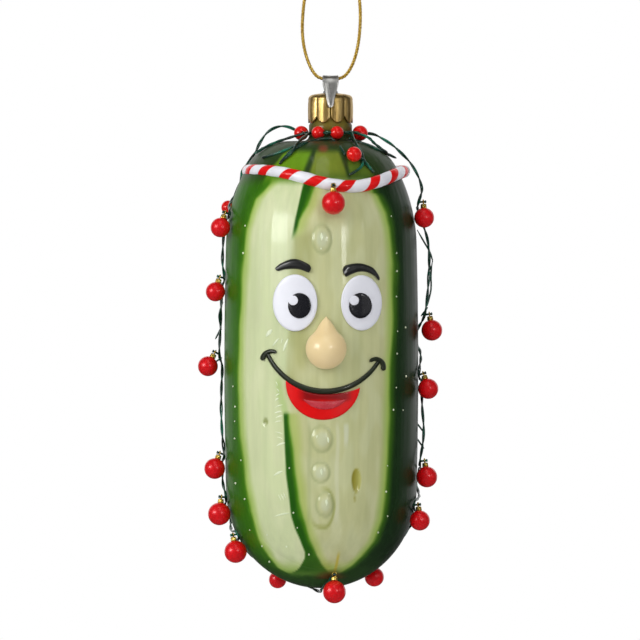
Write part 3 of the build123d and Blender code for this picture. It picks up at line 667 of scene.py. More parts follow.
# cord loop, its knot and the garland wires: twisted strands along a route
cordLoop = {
    "route": [
        (-0.15, -30.8), (-2.6, -30.8), (-4.4, -29.1), (-5.85, -25.9), (-6.8, -22.1), (-7.1, -18.2), (-6.9, -14.1),
        (-6.4, -9.9), (-5.4, -5.8), (-3.7, -2.1), (-1.4, 0.45), (1.8, 0.45), (4.4, -2.0), (6.2, -5.6), (7.15, -9.8),
        (7.5, -14.0), (7.4, -18.1), (6.95, -22.1), (6.05, -25.9), (4.55, -29.1), (2.6, -30.8), (0.15, -30.8),
    ],
    "winding": {"count": 3, "pitch": 2.3, "spread": 0.24, "radius": 0.2, "loose": 0.0, "spacing": 0.16},
    "wraps": 3,
    "wrapSpacing": 0.75,
    "wrapSize": (0.82, 0.78),
    "wrapMiddle": 0.62,
    "wrapLean": 0.12,
    "wrapRadius": 0.36,
    "tailRadius": 0.38,
    "tailRib": 0.05,
    "tailFray": 0.10,
}
strandSides = 8


def smoothLine(points, resolution):  # metres on a smooth curve through a route in millimetres
    curve = bpy.data.curves.new("route", "CURVE")
    curve.dimensions = "3D"
    spline = curve.splines.new("NURBS")
    spline.points.add(len(points) - 1)
    for spot, p in zip(spline.points, points):
        spot.co = (p[0] * mm, p[1] * mm, p[2] * mm, 1)
    spline.order_u = 3
    spline.use_endpoint_u = True
    spline.resolution_u = resolution
    holder = placed("route", curve)
    mesh = evaluated(holder)
    line = [v.co.copy() for v in mesh.vertices]
    bpy.data.objects.remove(holder)
    bpy.data.curves.remove(curve)
    bpy.data.meshes.remove(mesh)
    return line


def smoothRoute(points, resolution):  # the same in millimetres
    return [p / mm for p in smoothLine(points, resolution)]


def strandTree():  # Geometry Nodes: strands wound round a route
    tree = bpy.data.node_groups.new("twistedStrands", "GeometryNodeTree")
    kinds = {
        "Route": "Geometry", "Strands": "Int", "Pitch": "Float", "Spread": "Float", "Loose": "Float",
        "Radius": "Float", "Step": "Float", "Sides": "Int", "Seed": "Float", "Finish": "Material",
    }
    for name, kind in kinds.items():
        tree.interface.new_socket(name, in_out="INPUT", socket_type="NodeSocket" + kind)
    tree.interface.new_socket("Strand", in_out="OUTPUT", socket_type="NodeSocketGeometry")
    given, out = tree.nodes.new("NodeGroupInput").outputs, tree.nodes.new("NodeGroupOutput").inputs

    def add(kind, settings=None, **inputs):
        return addNode(tree, kind, settings, **inputs).outputs

    def calc(operation, a, b=0.0):
        return add("ShaderNodeMath", {"operation": operation}, i0=a, i1=b)[0]

    curve = add("GeometryNodeMeshToCurve", Mesh=given["Route"])["Curve"]
    even = add("GeometryNodeResampleCurve", {"mode": "LENGTH"}, Curve=curve, Length=given["Step"])["Curve"]
    copies = add("GeometryNodeDuplicateElements", {"domain": "SPLINE"}, Geometry=even, Amount=given["Strands"])
    length = add("GeometryNodeSplineParameter")["Length"]
    share = calc("DIVIDE", copies["Duplicate Index"], given["Strands"])
    turn = calc("MULTIPLY", calc("ADD", calc("DIVIDE", length, given["Pitch"]), share), fullTurn)
    spot = add("ShaderNodeCombineXYZ", X=length, Y=given["Seed"])[0]
    wave = add("ShaderNodeTexNoise", {"noise_dimensions": "2D"}, Vector=spot, Scale=110.0, Detail=1.0)["Fac"]
    loose = calc("MULTIPLY", calc("MAXIMUM", calc("SUBTRACT", wave, 0.5), 0.0), given["Loose"])
    reach = calc("MULTIPLY", given["Spread"], calc("ADD", 1.0, loose))
    normal, tangent = add("GeometryNodeInputNormal")["Normal"], add("GeometryNodeInputTangent")["Tangent"]
    spin = add("ShaderNodeVectorRotate", {"rotation_type": "AXIS_ANGLE"}, Vector=normal, Axis=tangent, Angle=turn)[0]
    offset = add("ShaderNodeVectorMath", {"operation": "SCALE"}, Vector=spin, Scale=reach)[0]
    wound = add("GeometryNodeSetPosition", Geometry=copies["Geometry"], Offset=offset)["Geometry"]
    section = add("GeometryNodeCurvePrimitiveCircle", Resolution=given["Sides"], Radius=given["Radius"])["Curve"]
    solid = add("GeometryNodeCurveToMesh", Curve=wound, Profile_Curve=section, Fill_Caps=True)["Mesh"]
    smooth = add("GeometryNodeSetShadeSmooth", Geometry=solid)["Geometry"]
    real = add("GeometryNodeRealizeInstances", Geometry=smooth)["Geometry"]
    done = add("GeometryNodeSetMaterial", Geometry=real, Material=given["Finish"])["Geometry"]
    tree.links.new(done, out["Strand"])
    return tree


strands = strandTree()
socketIds = {s.name: s.identifier for s in strands.interface.items_tree if s.in_out == "INPUT"}


def twisted(name, line, finish, seed, count, pitch, spread, radius, loose, spacing):  # sizes in millimetres
    mesh = bpy.data.meshes.new(name)
    mesh.from_pydata(line, [(i, i + 1) for i in range(len(line) - 1)], [])
    piece = placed(name, mesh)
    winding = piece.modifiers.new("strands", "NODES")
    winding.node_group = strands
    values = {
        "Strands": count, "Pitch": pitch * mm, "Spread": spread * mm, "Loose": loose, "Radius": radius * mm,
        "Step": spacing * mm, "Sides": strandSides, "Seed": seed, "Finish": finish,
    }
    for key, value in values.items():
        winding[socketIds[key]] = value
    solid = evaluated(piece)
    piece.modifiers.remove(winding)
    piece.data = solid
    solid.name = name
    return piece


def addTo(piece, *parts):  # more (verts, faces), in millimetres, into a finished piece's mesh
    verts = [v.co / mm for v in piece.data.vertices]
    faces = [list(p.vertices) for p in piece.data.polygons]
    finish = piece.data.materials[0]
    piece.data = meshOf(piece.name, *joined((verts, faces), *parts))
    piece.data.materials.append(finish)


def knotShape():  # wraps round the top of the loop and two short tails
    c = cordLoop
    parts = []
    deep, tall = c["wrapSize"]
    for n in range(c["wraps"]):
        wrap = []
        for t in turnsOf(40):
            across = c["wrapSpacing"] * (n - 1) + c["wrapLean"] * math.sin(2 * t)
            wrap.append((across, deep * math.sin(t), c["wrapMiddle"] + tall * math.cos(t)))
        parts.append(tube(wrap, c["wrapRadius"], 12, closed=True))

    def tailRadius(i, turn):  # ribbed, and frayed at its end
        fray = c["tailFray"] if i > 36 else 0
        return c["tailRadius"] + c["tailRib"] * math.cos(turn * 3 + i * 0.9) + fray

    for side in (-1, 1):
        heights = [0.12 * k for k in range(40)]
        tail = [(side * (0.15 + 0.28 * h + 0.02 * h * h), 0.12 * math.sin(h * 2), 0.9 + h) for h in heights]
        parts.append(tube(tail, tailRadius, 12))
    return joined(*parts)


threadTones = [(0.3, (158, 116, 32)), (0.55, (222, 184, 74)), (0.75, (255, 238, 156))]
# dark greens of the wire, with its brightest teal as painted glints at random spots
wireTones = [(0.35, (8, 34, 26)), (0.55, (10, 64, 48)), (0.74, (20, 132, 102))]
thread = cloudFinish("goldThread", 2600.0, 2.0, threadTones, (2600.0, 0.5), Metallic=0.5, Roughness=0.36)
wireGreen = cloudFinish("greenWire", 210.0, 3.0, wireTones, (1500.0, 0.25), Roughness=0.35, Coat_Weight=0.5,
                        Coat_Roughness=0.12)
cordLine = smoothLine([(x, 0, z) for x, z in cordLoop["route"]], 14)
cordPiece = twisted("goldCord", cordLine, thread, 1.0, **cordLoop["winding"])
dress(cordPiece, "hanging_loop", "gold_cord", "hanging_cord")
cordKnot = addPiece("cordKnot", knotShape(), thread, "hanging_loop", "gold_cord", "cord_knot")


# gold cap, its bail and spring
capShape = {
    "top": -34.25,
    "radius": 5.6,
    "height": 7.5,
    "wall": 0.3,
    "crown": [
        (0.7, -0.005), (1.5, -0.04), (2.4, -0.11), (3.3, -0.22), (4.1, -0.35),
        (4.6, -0.46), (5.0, -0.62), (5.3, -0.86), (5.5, -1.18), (5.6, -1.65),
    ],
    "petals": 9,
    "petalRadius": 3.4,
    "petalCentre": 2.2,
    "petalBulge": 0.10,
    "waist": 0.06,
    "fluteFrom": 3.6,
    "fluteFull": 5.4,
    "notchDepth": 1.75,
    "notchHalf": 1.85,
    "slitHalf": 0.2,
    "slitOff": 0.07,
    "slitTop": -37.25,
    "columnsPerPetal": 28,
    "rows": 26,
}


def makeCap():
    c = capShape
    columns, half = c["petals"] * c["columnsPerPetal"], math.pi / c["petals"]
    crownRows = len(c["crown"])
    total = crownRows + c["rows"]
    sideTop, capBottom = c["top"] + c["crown"][-1][1], c["top"] - c["height"]
    verts = [(0, 0, c["top"])]
    for row in range(total):
        for k in range(columns):
            turn = -math.pi / 2 + fullTurn * k / columns  # a notch is at the front
            off = ((turn + math.pi / 2) % (2 * half)) - half
            sine = c["petalCentre"] * math.sin(off)
            flute = c["petalCentre"] * math.cos(off) + math.sqrt(c["petalRadius"] ** 2 - sine**2)
            if row < crownRows:
                out, drop = c["crown"][row]
                level = c["top"] + drop
            else:
                share = (row - crownRows + 1) / c["rows"]
                gap = c["radius"] * (half - abs(off))
                bottom = capBottom + c["notchDepth"] * max(0.0, 1 - gap / c["notchHalf"]) ** 1.8
                bulge = c["petalBulge"] * math.sin(share * math.pi) * (1 - abs(off) / half)
                out, level = c["radius"] + bulge, sideTop + (bottom - sideTop) * share
                out -= c["waist"] * step(0.2, 0.0, share)
            out *= 1 - (1 - flute / c["radius"]) * step(c["fluteFrom"], c["fluteFull"], out)
            verts.append((out * math.cos(turn), out * math.sin(turn), level))
    faces = []
    for k, n in pairs(columns):
        faces.append([0, 1 + k, 1 + n])
        for row in range(total - 1):
            a, b = 1 + row * columns, 1 + (row + 1) * columns
            x, y, z = verts[a + k]
            if y >= 0 or abs(x + c["slitOff"]) >= c["slitHalf"] or z >= c["slitTop"]:
                faces.append([a + n, a + k, b + k, b + n])
    piece = newPiece("goldCap", verts, faces)
    shell = piece.modifiers.new("shell", "SOLIDIFY")
    shell.thickness = c["wall"] * mm
    shell.offset = -1
    mesh = evaluated(piece)
    piece.modifiers.clear()
    piece.data = mesh
    return piece


def brassFinish():
    made = Finish("brushedBrass", Metallic=1.0, Roughness=0.34)
    lines = made.noise(made.place((2600, 2600, 60)), 1.0, 3.0, 0.6)
    cloud = made.noise(made.place(), 160.0)
    tone = made.tones(lines, (0.28, (164, 130, 66)), (0.5, (214, 180, 108)), (0.74, (246, 226, 166)))
    tone = made.mix(0.35, tone, made.tones(cloud, (0.35, (176, 142, 76)), (0.65, (234, 204, 136))))
    made.wire(tone, "Base Color")
    made.wire(made.span(lines, 0.3, 0.7, 0.5, 0.34), "Roughness")
    made.bump(lines, 0.35, 0.0001)
    return made.material


finishPiece(makeCap(), brassFinish(), "ornament", "gold_cap", "cap")

bailShape = {
    "thickness": 0.45,
    "width": 4.0,
    "tipWidth": 1.1,
    "legMiddle": 6.045,
    "strap": -30.065,
    "tip": -38.0,
    "pin": -37.25,
    "pinRadius": 0.4,
    "pinFrom": -1.24,
    "pinTo": -0.05,
    "shoulder": 2.2,
    "straight": 2.0,
    "hollow": 0.30,
    "tipRound": 0.45,
    "tipSpacing": 0.27,
}


def bailSection():  # (across, out): edge to edge on the hollow outer face, and back on the inner one
    ring = []
    for s in (-1, -0.94, -0.82, -0.6, -0.3, 0, 0.3, 0.6, 0.82, 0.94, 1):
        rim = 0.5 if abs(s) < 0.95 else 0.2
        ring.append((s, rim - bailShape["hollow"] * max(0.0, 1 - (s / 0.86) ** 2) ** 0.7))
    return ring + [(s, -0.5) for s in (0.96, 0.5, 0, -0.5, -0.96)]


def bailStirrup():
    b = bailShape
    leg, shoulder, strap, tip = b["legMiddle"], b["shoulder"], b["strap"], b["tip"]
    route = [(-leg, tip + (strap - shoulder - tip) * k / 26) for k in range(27)]
    for s in shares(12):
        turn = math.radians(90 * s)
        route.append((-leg + shoulder * (1 - math.cos(turn)), strap - shoulder * (1 - math.sin(turn))))
    route += [((leg - shoulder) * (s - 1), strap) for s in shares(7)]
    route += [(-y, z) for y, z in route[-2::-1]]
    section, last = bailSection(), len(route) - 1
    widest = strap + b["thickness"] / 2 - b["straight"]
    verts = []
    for i, (y, z) in enumerate(route):
        before, after = route[max(0, i - 1)], route[min(last, i + 1)]
        way = Vector((0, after[0] - before[0], after[1] - before[1])).normalized()
        out = Vector((0, -way.z, way.y))
        share = min(1.0, max(0.0, (z - tip) / (widest - tip)))
        half = (b["tipWidth"] + (b["width"] - b["tipWidth"]) * share) / 2
        half *= 1 - b["tipRound"] * step(0.5, 0.0, min(i, last - i) * b["tipSpacing"])
        verts += [Vector((s * half, y, z)) + out * t * b["thickness"] for s, t in section]
    return verts, skin(len(route), len(section))


def bailWithPins():
    b = bailShape
    parts = [bailStirrup()]
    pin = [(0, b["pinFrom"]), (b["pinRadius"], b["pinFrom"]), (b["pinRadius"], b["pinTo"]), (0.0, b["pinTo"])]
    for side in (-1, 1):
        turn = Matrix.Rotation(-side * math.pi / 2, 4, "X")
        parts.append(moved(lathe(pin, 20), Matrix.Translation((0, side * b["legMiddle"], b["pin"])) @ turn))
    return joined(*parts)


def silverFinish():
    made = Finish("polishedSilver", Metallic=1.0, Roughness=0.2)
    lines = made.noise(made.place((900, 900, 120)), 1.0)
    made.wire(made.tones(lines, (0.3, (188, 187, 184)), (0.7, (238, 236, 230))), "Base Color")
    made.wire(made.span(lines, 0.3, 0.7, 0.44, 0.3), "Roughness")
    return made.material


addPiece("silverBail", bailWithPins(), silverFinish(), "bail", "silver", "bail")

springShape = {"foot": 3.13, "half": 1.6, "bar": -33.89, "leg": 13, "straight": 1.2, "bend": 0.2, "wire": 0.29}


def springWire():
    s = springShape
    foot, half, bar, bend = s["foot"], s["half"], s["bar"], s["bend"]
    leg = [(foot, 0, bar - s["leg"]), (half, 0, bar - s["straight"]), (half, 0, bar - bend), (half - bend, 0, bar)]
    route = [(-x, y, z) for x, y, z in leg] + leg[::-1]
    return tube(smoothRoute(route, 12), s["wire"], 14)


springSteel = metalFinish("springSteel", (176, 178, 182), (112, 114, 118), 0.3, 900.0, 0.2)
addPiece("capSpring", springWire(), springSteel, "ornament", "spring_steel", "cap_spring")
print("cap, bail and spring made")


# striped headband
band = {
    "radius": 1.55,
    "level": 7.6,
    "droop": 4.4,
    "droopAzimuth": 74,
    "droopWidth": 35,
    "stand": 0.45,
    "shift": 1.2,
    "points": 18,
    "endGap": 1.5,
    "endShares": (0.0, 0.62, 0.86, 0.97),
    "pitch": 7.3,
    "ridge": 0.022,
    "redShare": 0.42,
    "redAt": -3.7,
    "sides": 32,
}


def bandLevel(azimuth):
    bow = math.exp(-(((azimuth - band["droopAzimuth"]) / band["droopWidth"]) ** 2))
    return belowDome(band["level"]) - band["droop"] * bow


def makeBand():
    route = []
    for k in range(band["points"] + 1):
        azimuth = 270 - 360 * k / band["points"]
        slack = band["endGap"] if k == 0 else -band["endGap"] if k == band["points"] else 0
        route.append(onGlass(bandLevel(azimuth), azimuth - slack, band["stand"]) + Vector((band["shift"], 0, 0)))
    line = smoothRoute(route, 22)
    last = len(line) - 1
    reach = [0.0]
    for a, b in zip(line, line[1:]):
        reach.append(reach[-1] + (b - a).length)
    front = min((abs(p.x - band["redAt"]), r) for p, r in zip(line, reach) if p.y < 0)[1]
    verts, swirls = [], []  # swirl: length along the band, and the turn round it as a point on a circle
    for i, p in enumerate(line):
        way = (line[min(last, i + 1)] - line[max(0, i - 1)]).normalized()
        out = Vector((p.x - axisX, p.y, 0))
        out = (out - way * out.dot(way)).normalized()
        up = out.cross(way)
        up = up if up.z > 0 else -up
        end = min(i, last - i)
        radius = band["radius"] * (band["endShares"][end] if end < len(band["endShares"]) else 1.0)
        length = (reach[i] - front) / band["pitch"]
        for turn in turnsOf(band["sides"]):
            ridge = 1 + band["ridge"] * math.cos(2 * fullTurn * (length - turn / fullTurn))
            verts.append(p + (out * math.cos(turn) + up * math.sin(turn)) * radius * ridge)
            swirls += (length + 40, 0.5 + 0.5 * math.cos(turn), 0.5 + 0.5 * math.sin(turn), 1.0)
    piece = newPiece("candyBand", verts, skin(len(line), band["sides"], ends=False))
    piece.data.attributes.new("swirl", "FLOAT_COLOR", "POINT").data.foreach_set("color", swirls)
    return piece


def candyFinish():
    made = Finish("candyStripe", Roughness=0.36, Specular_IOR_Level=0.15, Coat_Weight=0.4, Coat_Roughness=0.08,
                  Coat_IOR=lacquer)
    swirl = made.add("ShaderNodeSeparateColor", i0=made.attribute("swirl", "Color")).outputs
    across = made.math("SUBTRACT", made.math("MULTIPLY", swirl[1], 2.0), 1.0)
    height = made.math("SUBTRACT", made.math("MULTIPLY", swirl[2], 2.0), 1.0)
    turn = made.math("DIVIDE", made.math("ARCTAN2", height, across), fullTurn)
    wobble = made.math("MULTIPLY", made.math("SUBTRACT", made.noise(made.place(), 420.0, 2.0), 0.5), 0.06)
    place = made.math("FRACT", made.math("ADD", made.math("SUBTRACT", swirl[0], turn), wobble))
    off = made.math("ABSOLUTE", made.math("SUBTRACT", place, 0.5))  # half at the middle of a red stripe
    edge = 0.5 - band["redShare"] / 2
    stripe = made.span(off, edge - 0.015, edge + 0.015)
    cloud = made.noise(made.place(), 300.0)
    red = made.tones(cloud, (0.3, (214, 8, 12)), (0.7, (232, 14, 14)))
    white = made.tones(cloud, (0.3, (222, 222, 230)), (0.7, (240, 240, 246)))
    made.wire(made.mix(stripe, white, red), "Base Color")
    made.bump(made.noise(made.place(), 900.0, 2.0), 0.12, 0.0002)
    return made.material


finishPiece(makeBand(), candyFinish(), "ornament", "candy_stripe", "headband")
print("headband made")


# face: patches and strokes that follow the front of the glass, as x and drop from the dome
face = {
    "leftEye": (-8.8, 40.4, 11.1, 14.1),
    "rightEye": (7.65, 40.4, 10.2, 13.7),
    "leftPupil": (-7.7, 41.1),
    "rightPupil": (7.4, 41.1),
    "pupilSize": (5.7, 6.3),
    "glint": (-1.57, 1.3, 1.2),
    "leftBrow": (
        [(-14.0, -31.95), (-12.2, -30.5), (-8.9, -29.5), (-5.6, -30.7), (-4.7, -31.9)],
        [(-13.15, -32.6), (-11.0, -32.1), (-8.0, -32.1), (-5.3, -33.0)],
    ),
    "rightBrow": (
        [(2.84, -32.4), (3.8, -31.1), (7.14, -30.6), (10.2, -31.5), (11.7, -33.1), (12.3, -34.35)],
        [(3.65, -34.1), (5.3, -33.3), (7.1, -32.7), (8.95, -32.8), (10.8, -33.7), (12.0, -35.0)],
    ),
    "browPoints": 60,
    "smile": [(-15.7, -53.0), (-1.0, -62.3), (12.0, -54.8)],
    "leftTick": [(-16.9, -54.7), (-15.6, -52.6), (-13.4, -52.8)],
    "rightTick": [(9.7, -55.0), (12.2, -54.6), (12.9, -57.2)],
    "mouth": ([(-11.1, -59.7), (-1.6, -63.1), (7.3, -61.4)], (-1.6, -69.4)),
    "underSmile": 0.72,
    "tongue": ([(-6.9, -64.2), (-1.6, -64.8), (4.0, -64.2)], (-1.6, -66.8)),
    "nose": (-1.1, 51.8, 5.1, 8.1, 0.4),
    "noseWaist": 0.16,
    "noseTip": 0.55,
    # rows of a patch as (share of its outline, height)
    "eyeRows": [
        (1.0, 0.3), (0.995, 0.5), (0.98, 0.66), (0.95, 0.75),
        (0.9, 0.79), (0.75, 0.79), (0.5, 0.79), (0.25, 0.79),
    ],
    "pupilRows": [(1.0, 0.95), (0.97, 1.06), (0.9, 1.12), (0.7, 1.13), (0.4, 1.13)],
    "glintRows": [(1.0, 1.14), (0.93, 1.18), (0.7, 1.19)],
}


def arcPoints(three, count, start=0.0, end=1.0):  # points on the circle through three places
    a, b, c = (Vector((x, domeLevel + z)) for x, z in three)
    d = 2 * (a.x * (b.y - c.y) + b.x * (c.y - a.y) + c.x * (a.y - b.y))
    ux = (a.dot(a) * (b.y - c.y) + b.dot(b) * (c.y - a.y) + c.dot(c) * (a.y - b.y)) / d
    uy = (a.dot(a) * (c.x - b.x) + b.dot(b) * (a.x - c.x) + c.dot(c) * (b.x - a.x)) / d
    radius = (a - Vector((ux, uy))).length
    first, middle, last = (math.atan2(p.y - uy, p.x - ux) for p in (a, b, c))
    middle = (middle - first) % fullTurn
    last = (last - first) % fullTurn
    sweep = last if middle < last else last - fullTurn
    turns = [first + sweep * (start + (end - start) * k / (count - 1)) for k in range(count)]
    return [Vector((ux + radius * math.cos(t), uy + radius * math.sin(t))) for t in turns]


def curveThrough(places, count):  # points on a smooth line through places
    spots = [Vector((x, domeLevel + z)) for x, z in places]
    spots = [spots[0] * 2 - spots[1]] + spots + [spots[-1] * 2 - spots[-2]]
    points = []
    for k in range(count):
        reach = (len(places) - 1) * k / (count - 1)
        i = min(int(reach), len(places) - 2)
        t = reach - i
        a, b, c, d = spots[i : i + 4]
        points.append((b * 2 + (c - a) * t + (a * 2 - b * 5 + c * 4 - d) * t**2 + (b * 3 - a - c * 3 + d) * t**3) / 2)
    return points


def patch(centre, edge, rows, low):  # a domed disc from a closed outline
    centre = Vector(centre)
    levels = [(0.5, low), (1.0, low)] + rows
    verts = [frontOfGlass(centre.x, centre.y, low)]
    for share, height in levels:
        for p in edge:
            q = centre + (Vector(p) - centre) * share
            verts.append(frontOfGlass(q.x, q.y, height))
    verts.append(frontOfGlass(centre.x, centre.y, rows[-1][1]))
    return verts, poledSkin(len(levels), len(edge))


def ribbon(top, under, low, height, flat=0.0, steps=13):  # a raised strip between two lines of points
    verts = []
    for t, u in zip(top, under):
        for k in range(steps):
            c = k / (steps - 1)
            edge = min(1.0, (1 - abs(2 * c - 1)) / (1 - flat))
            p = t + (u - t) * c
            verts.append(frontOfGlass(p.x, p.y, low + height * math.sqrt(1 - (1 - edge) ** 2)))
        verts += [frontOfGlass(p.x, p.y, low - 0.02) for p in (u, t)]
    return verts, skin(len(top), steps + 2)


def stroke(middle, width, low, height):  # a ribbon of changing width along one line
    top, under = [], []
    last = len(middle) - 1
    for i, p in enumerate(middle):
        way = (middle[min(i + 1, last)] - middle[max(i - 1, 0)]).normalized()
        side = Vector((-way.y, way.x)) * width(i / last)
        top.append(p + side)
        under.append(p - side)
    return ribbon(top, under, low, height)


def ovalPatch(cx, drop, wide, tall, rows, low, count=112):
    level = belowDome(drop)
    edge = [Vector((cx + wide / 2 * math.cos(t), level + tall / 2 * math.sin(t))) for t in turnsOf(count)]
    return patch((cx, level), edge, rows, low)


def roundedEnd(share, length):
    near = min(share, 1 - share)
    return 1.0 if near > length else math.sqrt(max(0.02, 1 - (1 - near / length) ** 2))


def mouthFinish():  # bright lip, darker inside under the smile
    made = Finish("mouthRed", Roughness=0.32, Specular_IOR_Level=0.2, Coat_Weight=0.4, Coat_Roughness=0.1,
                  Coat_IOR=lacquer)
    spot = made.place()
    lip = made.tones(made.noise(spot, 200.0), (0.3, (212, 2, 5)), (0.7, (228, 6, 8)))
    place = made.add("ShaderNodeSeparateXYZ", i0=spot).outputs
    across = made.math("ABSOLUTE", made.math("ADD", place[0], 0.0012))
    wide = made.span(across, 0.0075, 0.0045, kind="SMOOTHSTEP")
    high = made.span(place[2], -0.1116, -0.1102, kind="SMOOTHSTEP")
    inside = made.math("MULTIPLY", made.math("MULTIPLY", wide, high), 0.85)
    made.wire(made.mix(inside, lip, linear(118, 8, 14)), "Base Color")
    return made.material


gloss = {
    "eye": paintedFinish("eyeWhite", (222, 223, 232), (236, 237, 245), 120.0, 0.4, 0.4, coatRough=0.3),
    "pupil": paintedFinish("pupilBlack", (18, 18, 22), (34, 34, 40), 260.0, 0.25, 0.6),
    "brow": paintedFinish("browCharcoal", (20, 21, 21), (40, 41, 40), 420.0, 0.34, 0.5, bump=0.2),
    "line": paintedFinish("lineBlack", (28, 35, 22), (46, 53, 36), 500.0, 0.36, 0.4, bump=0.2),
    "mouth": mouthFinish(),
    "tongue": paintedFinish("tongueRed", (176, 36, 48), (204, 70, 80), 260.0, 0.25, 0.6),
    "nose": paintedFinish("nosePeach", (232, 204, 148), (246, 224, 176), 110.0, 0.4, 0.5, coatRough=0.16),
}


def browShape(side):
    count = face["browPoints"]
    top, under = (curveThrough(run, count) for run in face[side + "Brow"])
    for i in range(count):  # ends drawn together
        pull = 1 - roundedEnd(i / (count - 1), 0.04)
        middle = (top[i] + under[i]) / 2
        top[i], under[i] = top[i] + (middle - top[i]) * pull, under[i] + (middle - under[i]) * pull
    return ribbon(top, under, 0.06, 0.58, 0.3)


for side in ("left", "right"):
    white = ovalPatch(*face[side + "Eye"], face["eyeRows"], 0.04)
    cx, drop = face[side + "Pupil"]
    black = ovalPatch(cx, drop, *face["pupilSize"], face["pupilRows"], 0.83)
    across, up, radius = face["glint"]
    glint = ovalPatch(cx + across, drop - up, radius * 2, radius * 2, face["glintRows"], 1.1, 48)
    addPiece(side + "EyeWhite", joined(white, glint), gloss["eye"], "ornament", "eye_white", side + "_eye")
    addPiece(side + "PupilBlack", black, gloss["pupil"], "ornament", "pupil_black", side + "_pupil")
    addPiece(side + "BrowStroke", browShape(side), gloss["brow"], "ornament", "brow_charcoal", side + "_brow")


def smileShape():
    def lineWidth(s):
        return (0.52 + 0.2 * math.sin(math.pi * s)) * roundedEnd(s, 0.012)

    def leftWidth(s):
        return (0.72 - 0.24 * s) * roundedEnd(s, 0.14)

    def rightWidth(s):
        return (0.46 + 0.24 * s) * roundedEnd(s, 0.14)

    ticks = [stroke(arcPoints(face["leftTick"], 40), leftWidth, 0.07, 0.53)]
    ticks.append(stroke(arcPoints(face["rightTick"], 40), rightWidth, 0.07, 0.53))
    return joined(stroke(arcPoints(face["smile"], 110), lineWidth, 0.06, 0.52), *ticks)


def lipEdges(top, lowest, count=80):
    return [arcPoints(three, count, 0.004, 0.996) for three in (top, [top[0], lowest, top[2]])]


def mouthShape():  # its top follows the smile's under edge, and leaves it at the right
    top, low = lipEdges(*face["mouth"])
    line = arcPoints(face["smile"], 200)
    for i, p in enumerate(top):
        over = min(line, key=lambda q: abs(q.x - p.x)).y - face["underSmile"]
        top[i] = Vector((p.x, over + (p.y - over) * step(-1.0, 7.0, p.x)))
    return ribbon(top, low, 0.06, 0.36, 0.88, 25)


def noseShape():
    cx, drop, radius, length, stand = face["nose"]
    front = onGlass(belowDome(drop), 90, stand).y
    cone = math.asin(radius / length)
    profile = [(0, -radius)]
    for s in shares(40):
        turn = -math.pi / 2 + (math.pi / 2 + cone) * s
        profile.append((radius * math.cos(turn), radius * math.sin(turn)))
    footOut, footUp = profile[-1]
    for s in shares(24)[:-1]:  # drawn in to a soft tip
        bow = math.sin(math.pi * s)
        out = footOut * (1 - s) * (1 - face["noseWaist"] * bow) + face["noseTip"] * bow**2 * s
        profile.append((out, footUp + (length - footUp) * s))
    profile.append((0, length))
    verts, faces = moved(lathe(profile, 96), Matrix.Translation((cx, front, belowDome(drop))))
    kept = []
    for v in verts:  # the back sits on the glass
        out = Vector((v.x - axisX, v.y))
        reach = glassRadius(v.z) + 0.05
        if out.length < reach or v.y > front + 6:
            out = out.normalized() * reach
        kept.append((axisX + out.x, out.y, v.z))
    return kept, faces


tongueShape = ribbon(*lipEdges(*face["tongue"]), 0.48, 0.28, 0.0, 15)
addPiece("smileStroke", smileShape(), gloss["line"], "ornament", "line_black", "smile_line")
addPiece("mouthOpen", mouthShape(), gloss["mouth"], "ornament", "mouth_red", "mouth")
addPiece("tongueShine", tongueShape, gloss["tongue"], "ornament", "tongue_red", "tongue")
addPiece("noseBulb", noseShape(), gloss["nose"], "ornament", "nose_peach", "nose")
print("face made")


# pale specks along the rind, and painted highlights on the cut face and the seeds, raised like drops of paint
marks = {
    "specks": [  # column and row in the photograph's frame
        (390.9, 216.8), (396.2, 253.5), (396.5, 271.4), (396.1, 296.7), (405.2, 327.3), (397.1, 331.2),
        (396.7, 353.4), (405.7, 376), (395.9, 387), (393, 409.2), (402.6, 409.7), (245.5, 226.2), (243.5, 253.5),
        (233.3, 386), (235.4, 406.3), (235, 420.8), (235, 438), (235.8, 482.5), (241.3, 459.5), (245, 498),
        (250, 529), (262.3, 545), (269.5, 560.7), (289.6, 466.7), (293.6, 511), (297.5, 526), (309, 552.8),
        (385.7, 490.4), (387.2, 514.8), (377.8, 531), (387, 464.6), (267.4, 533.4), (286.7, 545),
    ],
    "paintedHighlights": [  # painted highlights on the cut face: column and row of both ends, half width
        (274, 474.6, 283, 469.6, 0.3), (275, 514.8, 290, 511.2, 0.24), (276.7, 445, 285.3, 441.6, 0.24),
        (278.6, 493, 281.4, 499, 0.13), (281, 492, 284.2, 498.5, 0.15), (283.6, 491, 286, 497, 0.13),
        (275, 407, 283, 404, 0.14), (275, 412.4, 282, 410.5, 0.2), (276, 417, 283, 414.8, 0.17),
        (275, 421.4, 282.4, 420, 0.13), (275, 431, 283, 433, 0.12), (277, 436, 283, 438, 0.12),
        (266.5, 336.5, 272.6, 329.5, 0.5), (273, 346, 279.5, 338, 0.26), (283.6, 351, 288.4, 338.5, 0.32),
        (281.4, 343.4, 283.2, 338, 0.14), (276, 381, 278, 385, 0.13), (277, 388, 279.6, 391.6, 0.14),
        (276, 395.4, 280, 393, 0.15), (275.6, 400, 279, 397.5, 0.2),
    ],
    "glints": [  # painted highlights on the seeds, the same with the height of each
        (321.6, 233.5, 321.6, 241.5, 0.3, 0.42), (320.6, 248.6, 321.2, 250.4, 0.16, 0.28),
        (327.4, 436, 328.4, 441.4, 0.3, 0.36), (317.4, 434, 316.6, 437, 0.2, 0.45),
        (321.2, 467.2, 321.8, 473.4, 0.3, 0.49), (326, 497.6, 326.8, 504, 0.3, 0.55),
    ],
    "dotRadius": 0.17,
    "dotRows": [(1.0, 0.04), (0.8, 0.1), (0.45, 0.14)],
    "highlightLow": 0.02,
    "highlightBow": 0.12,
}


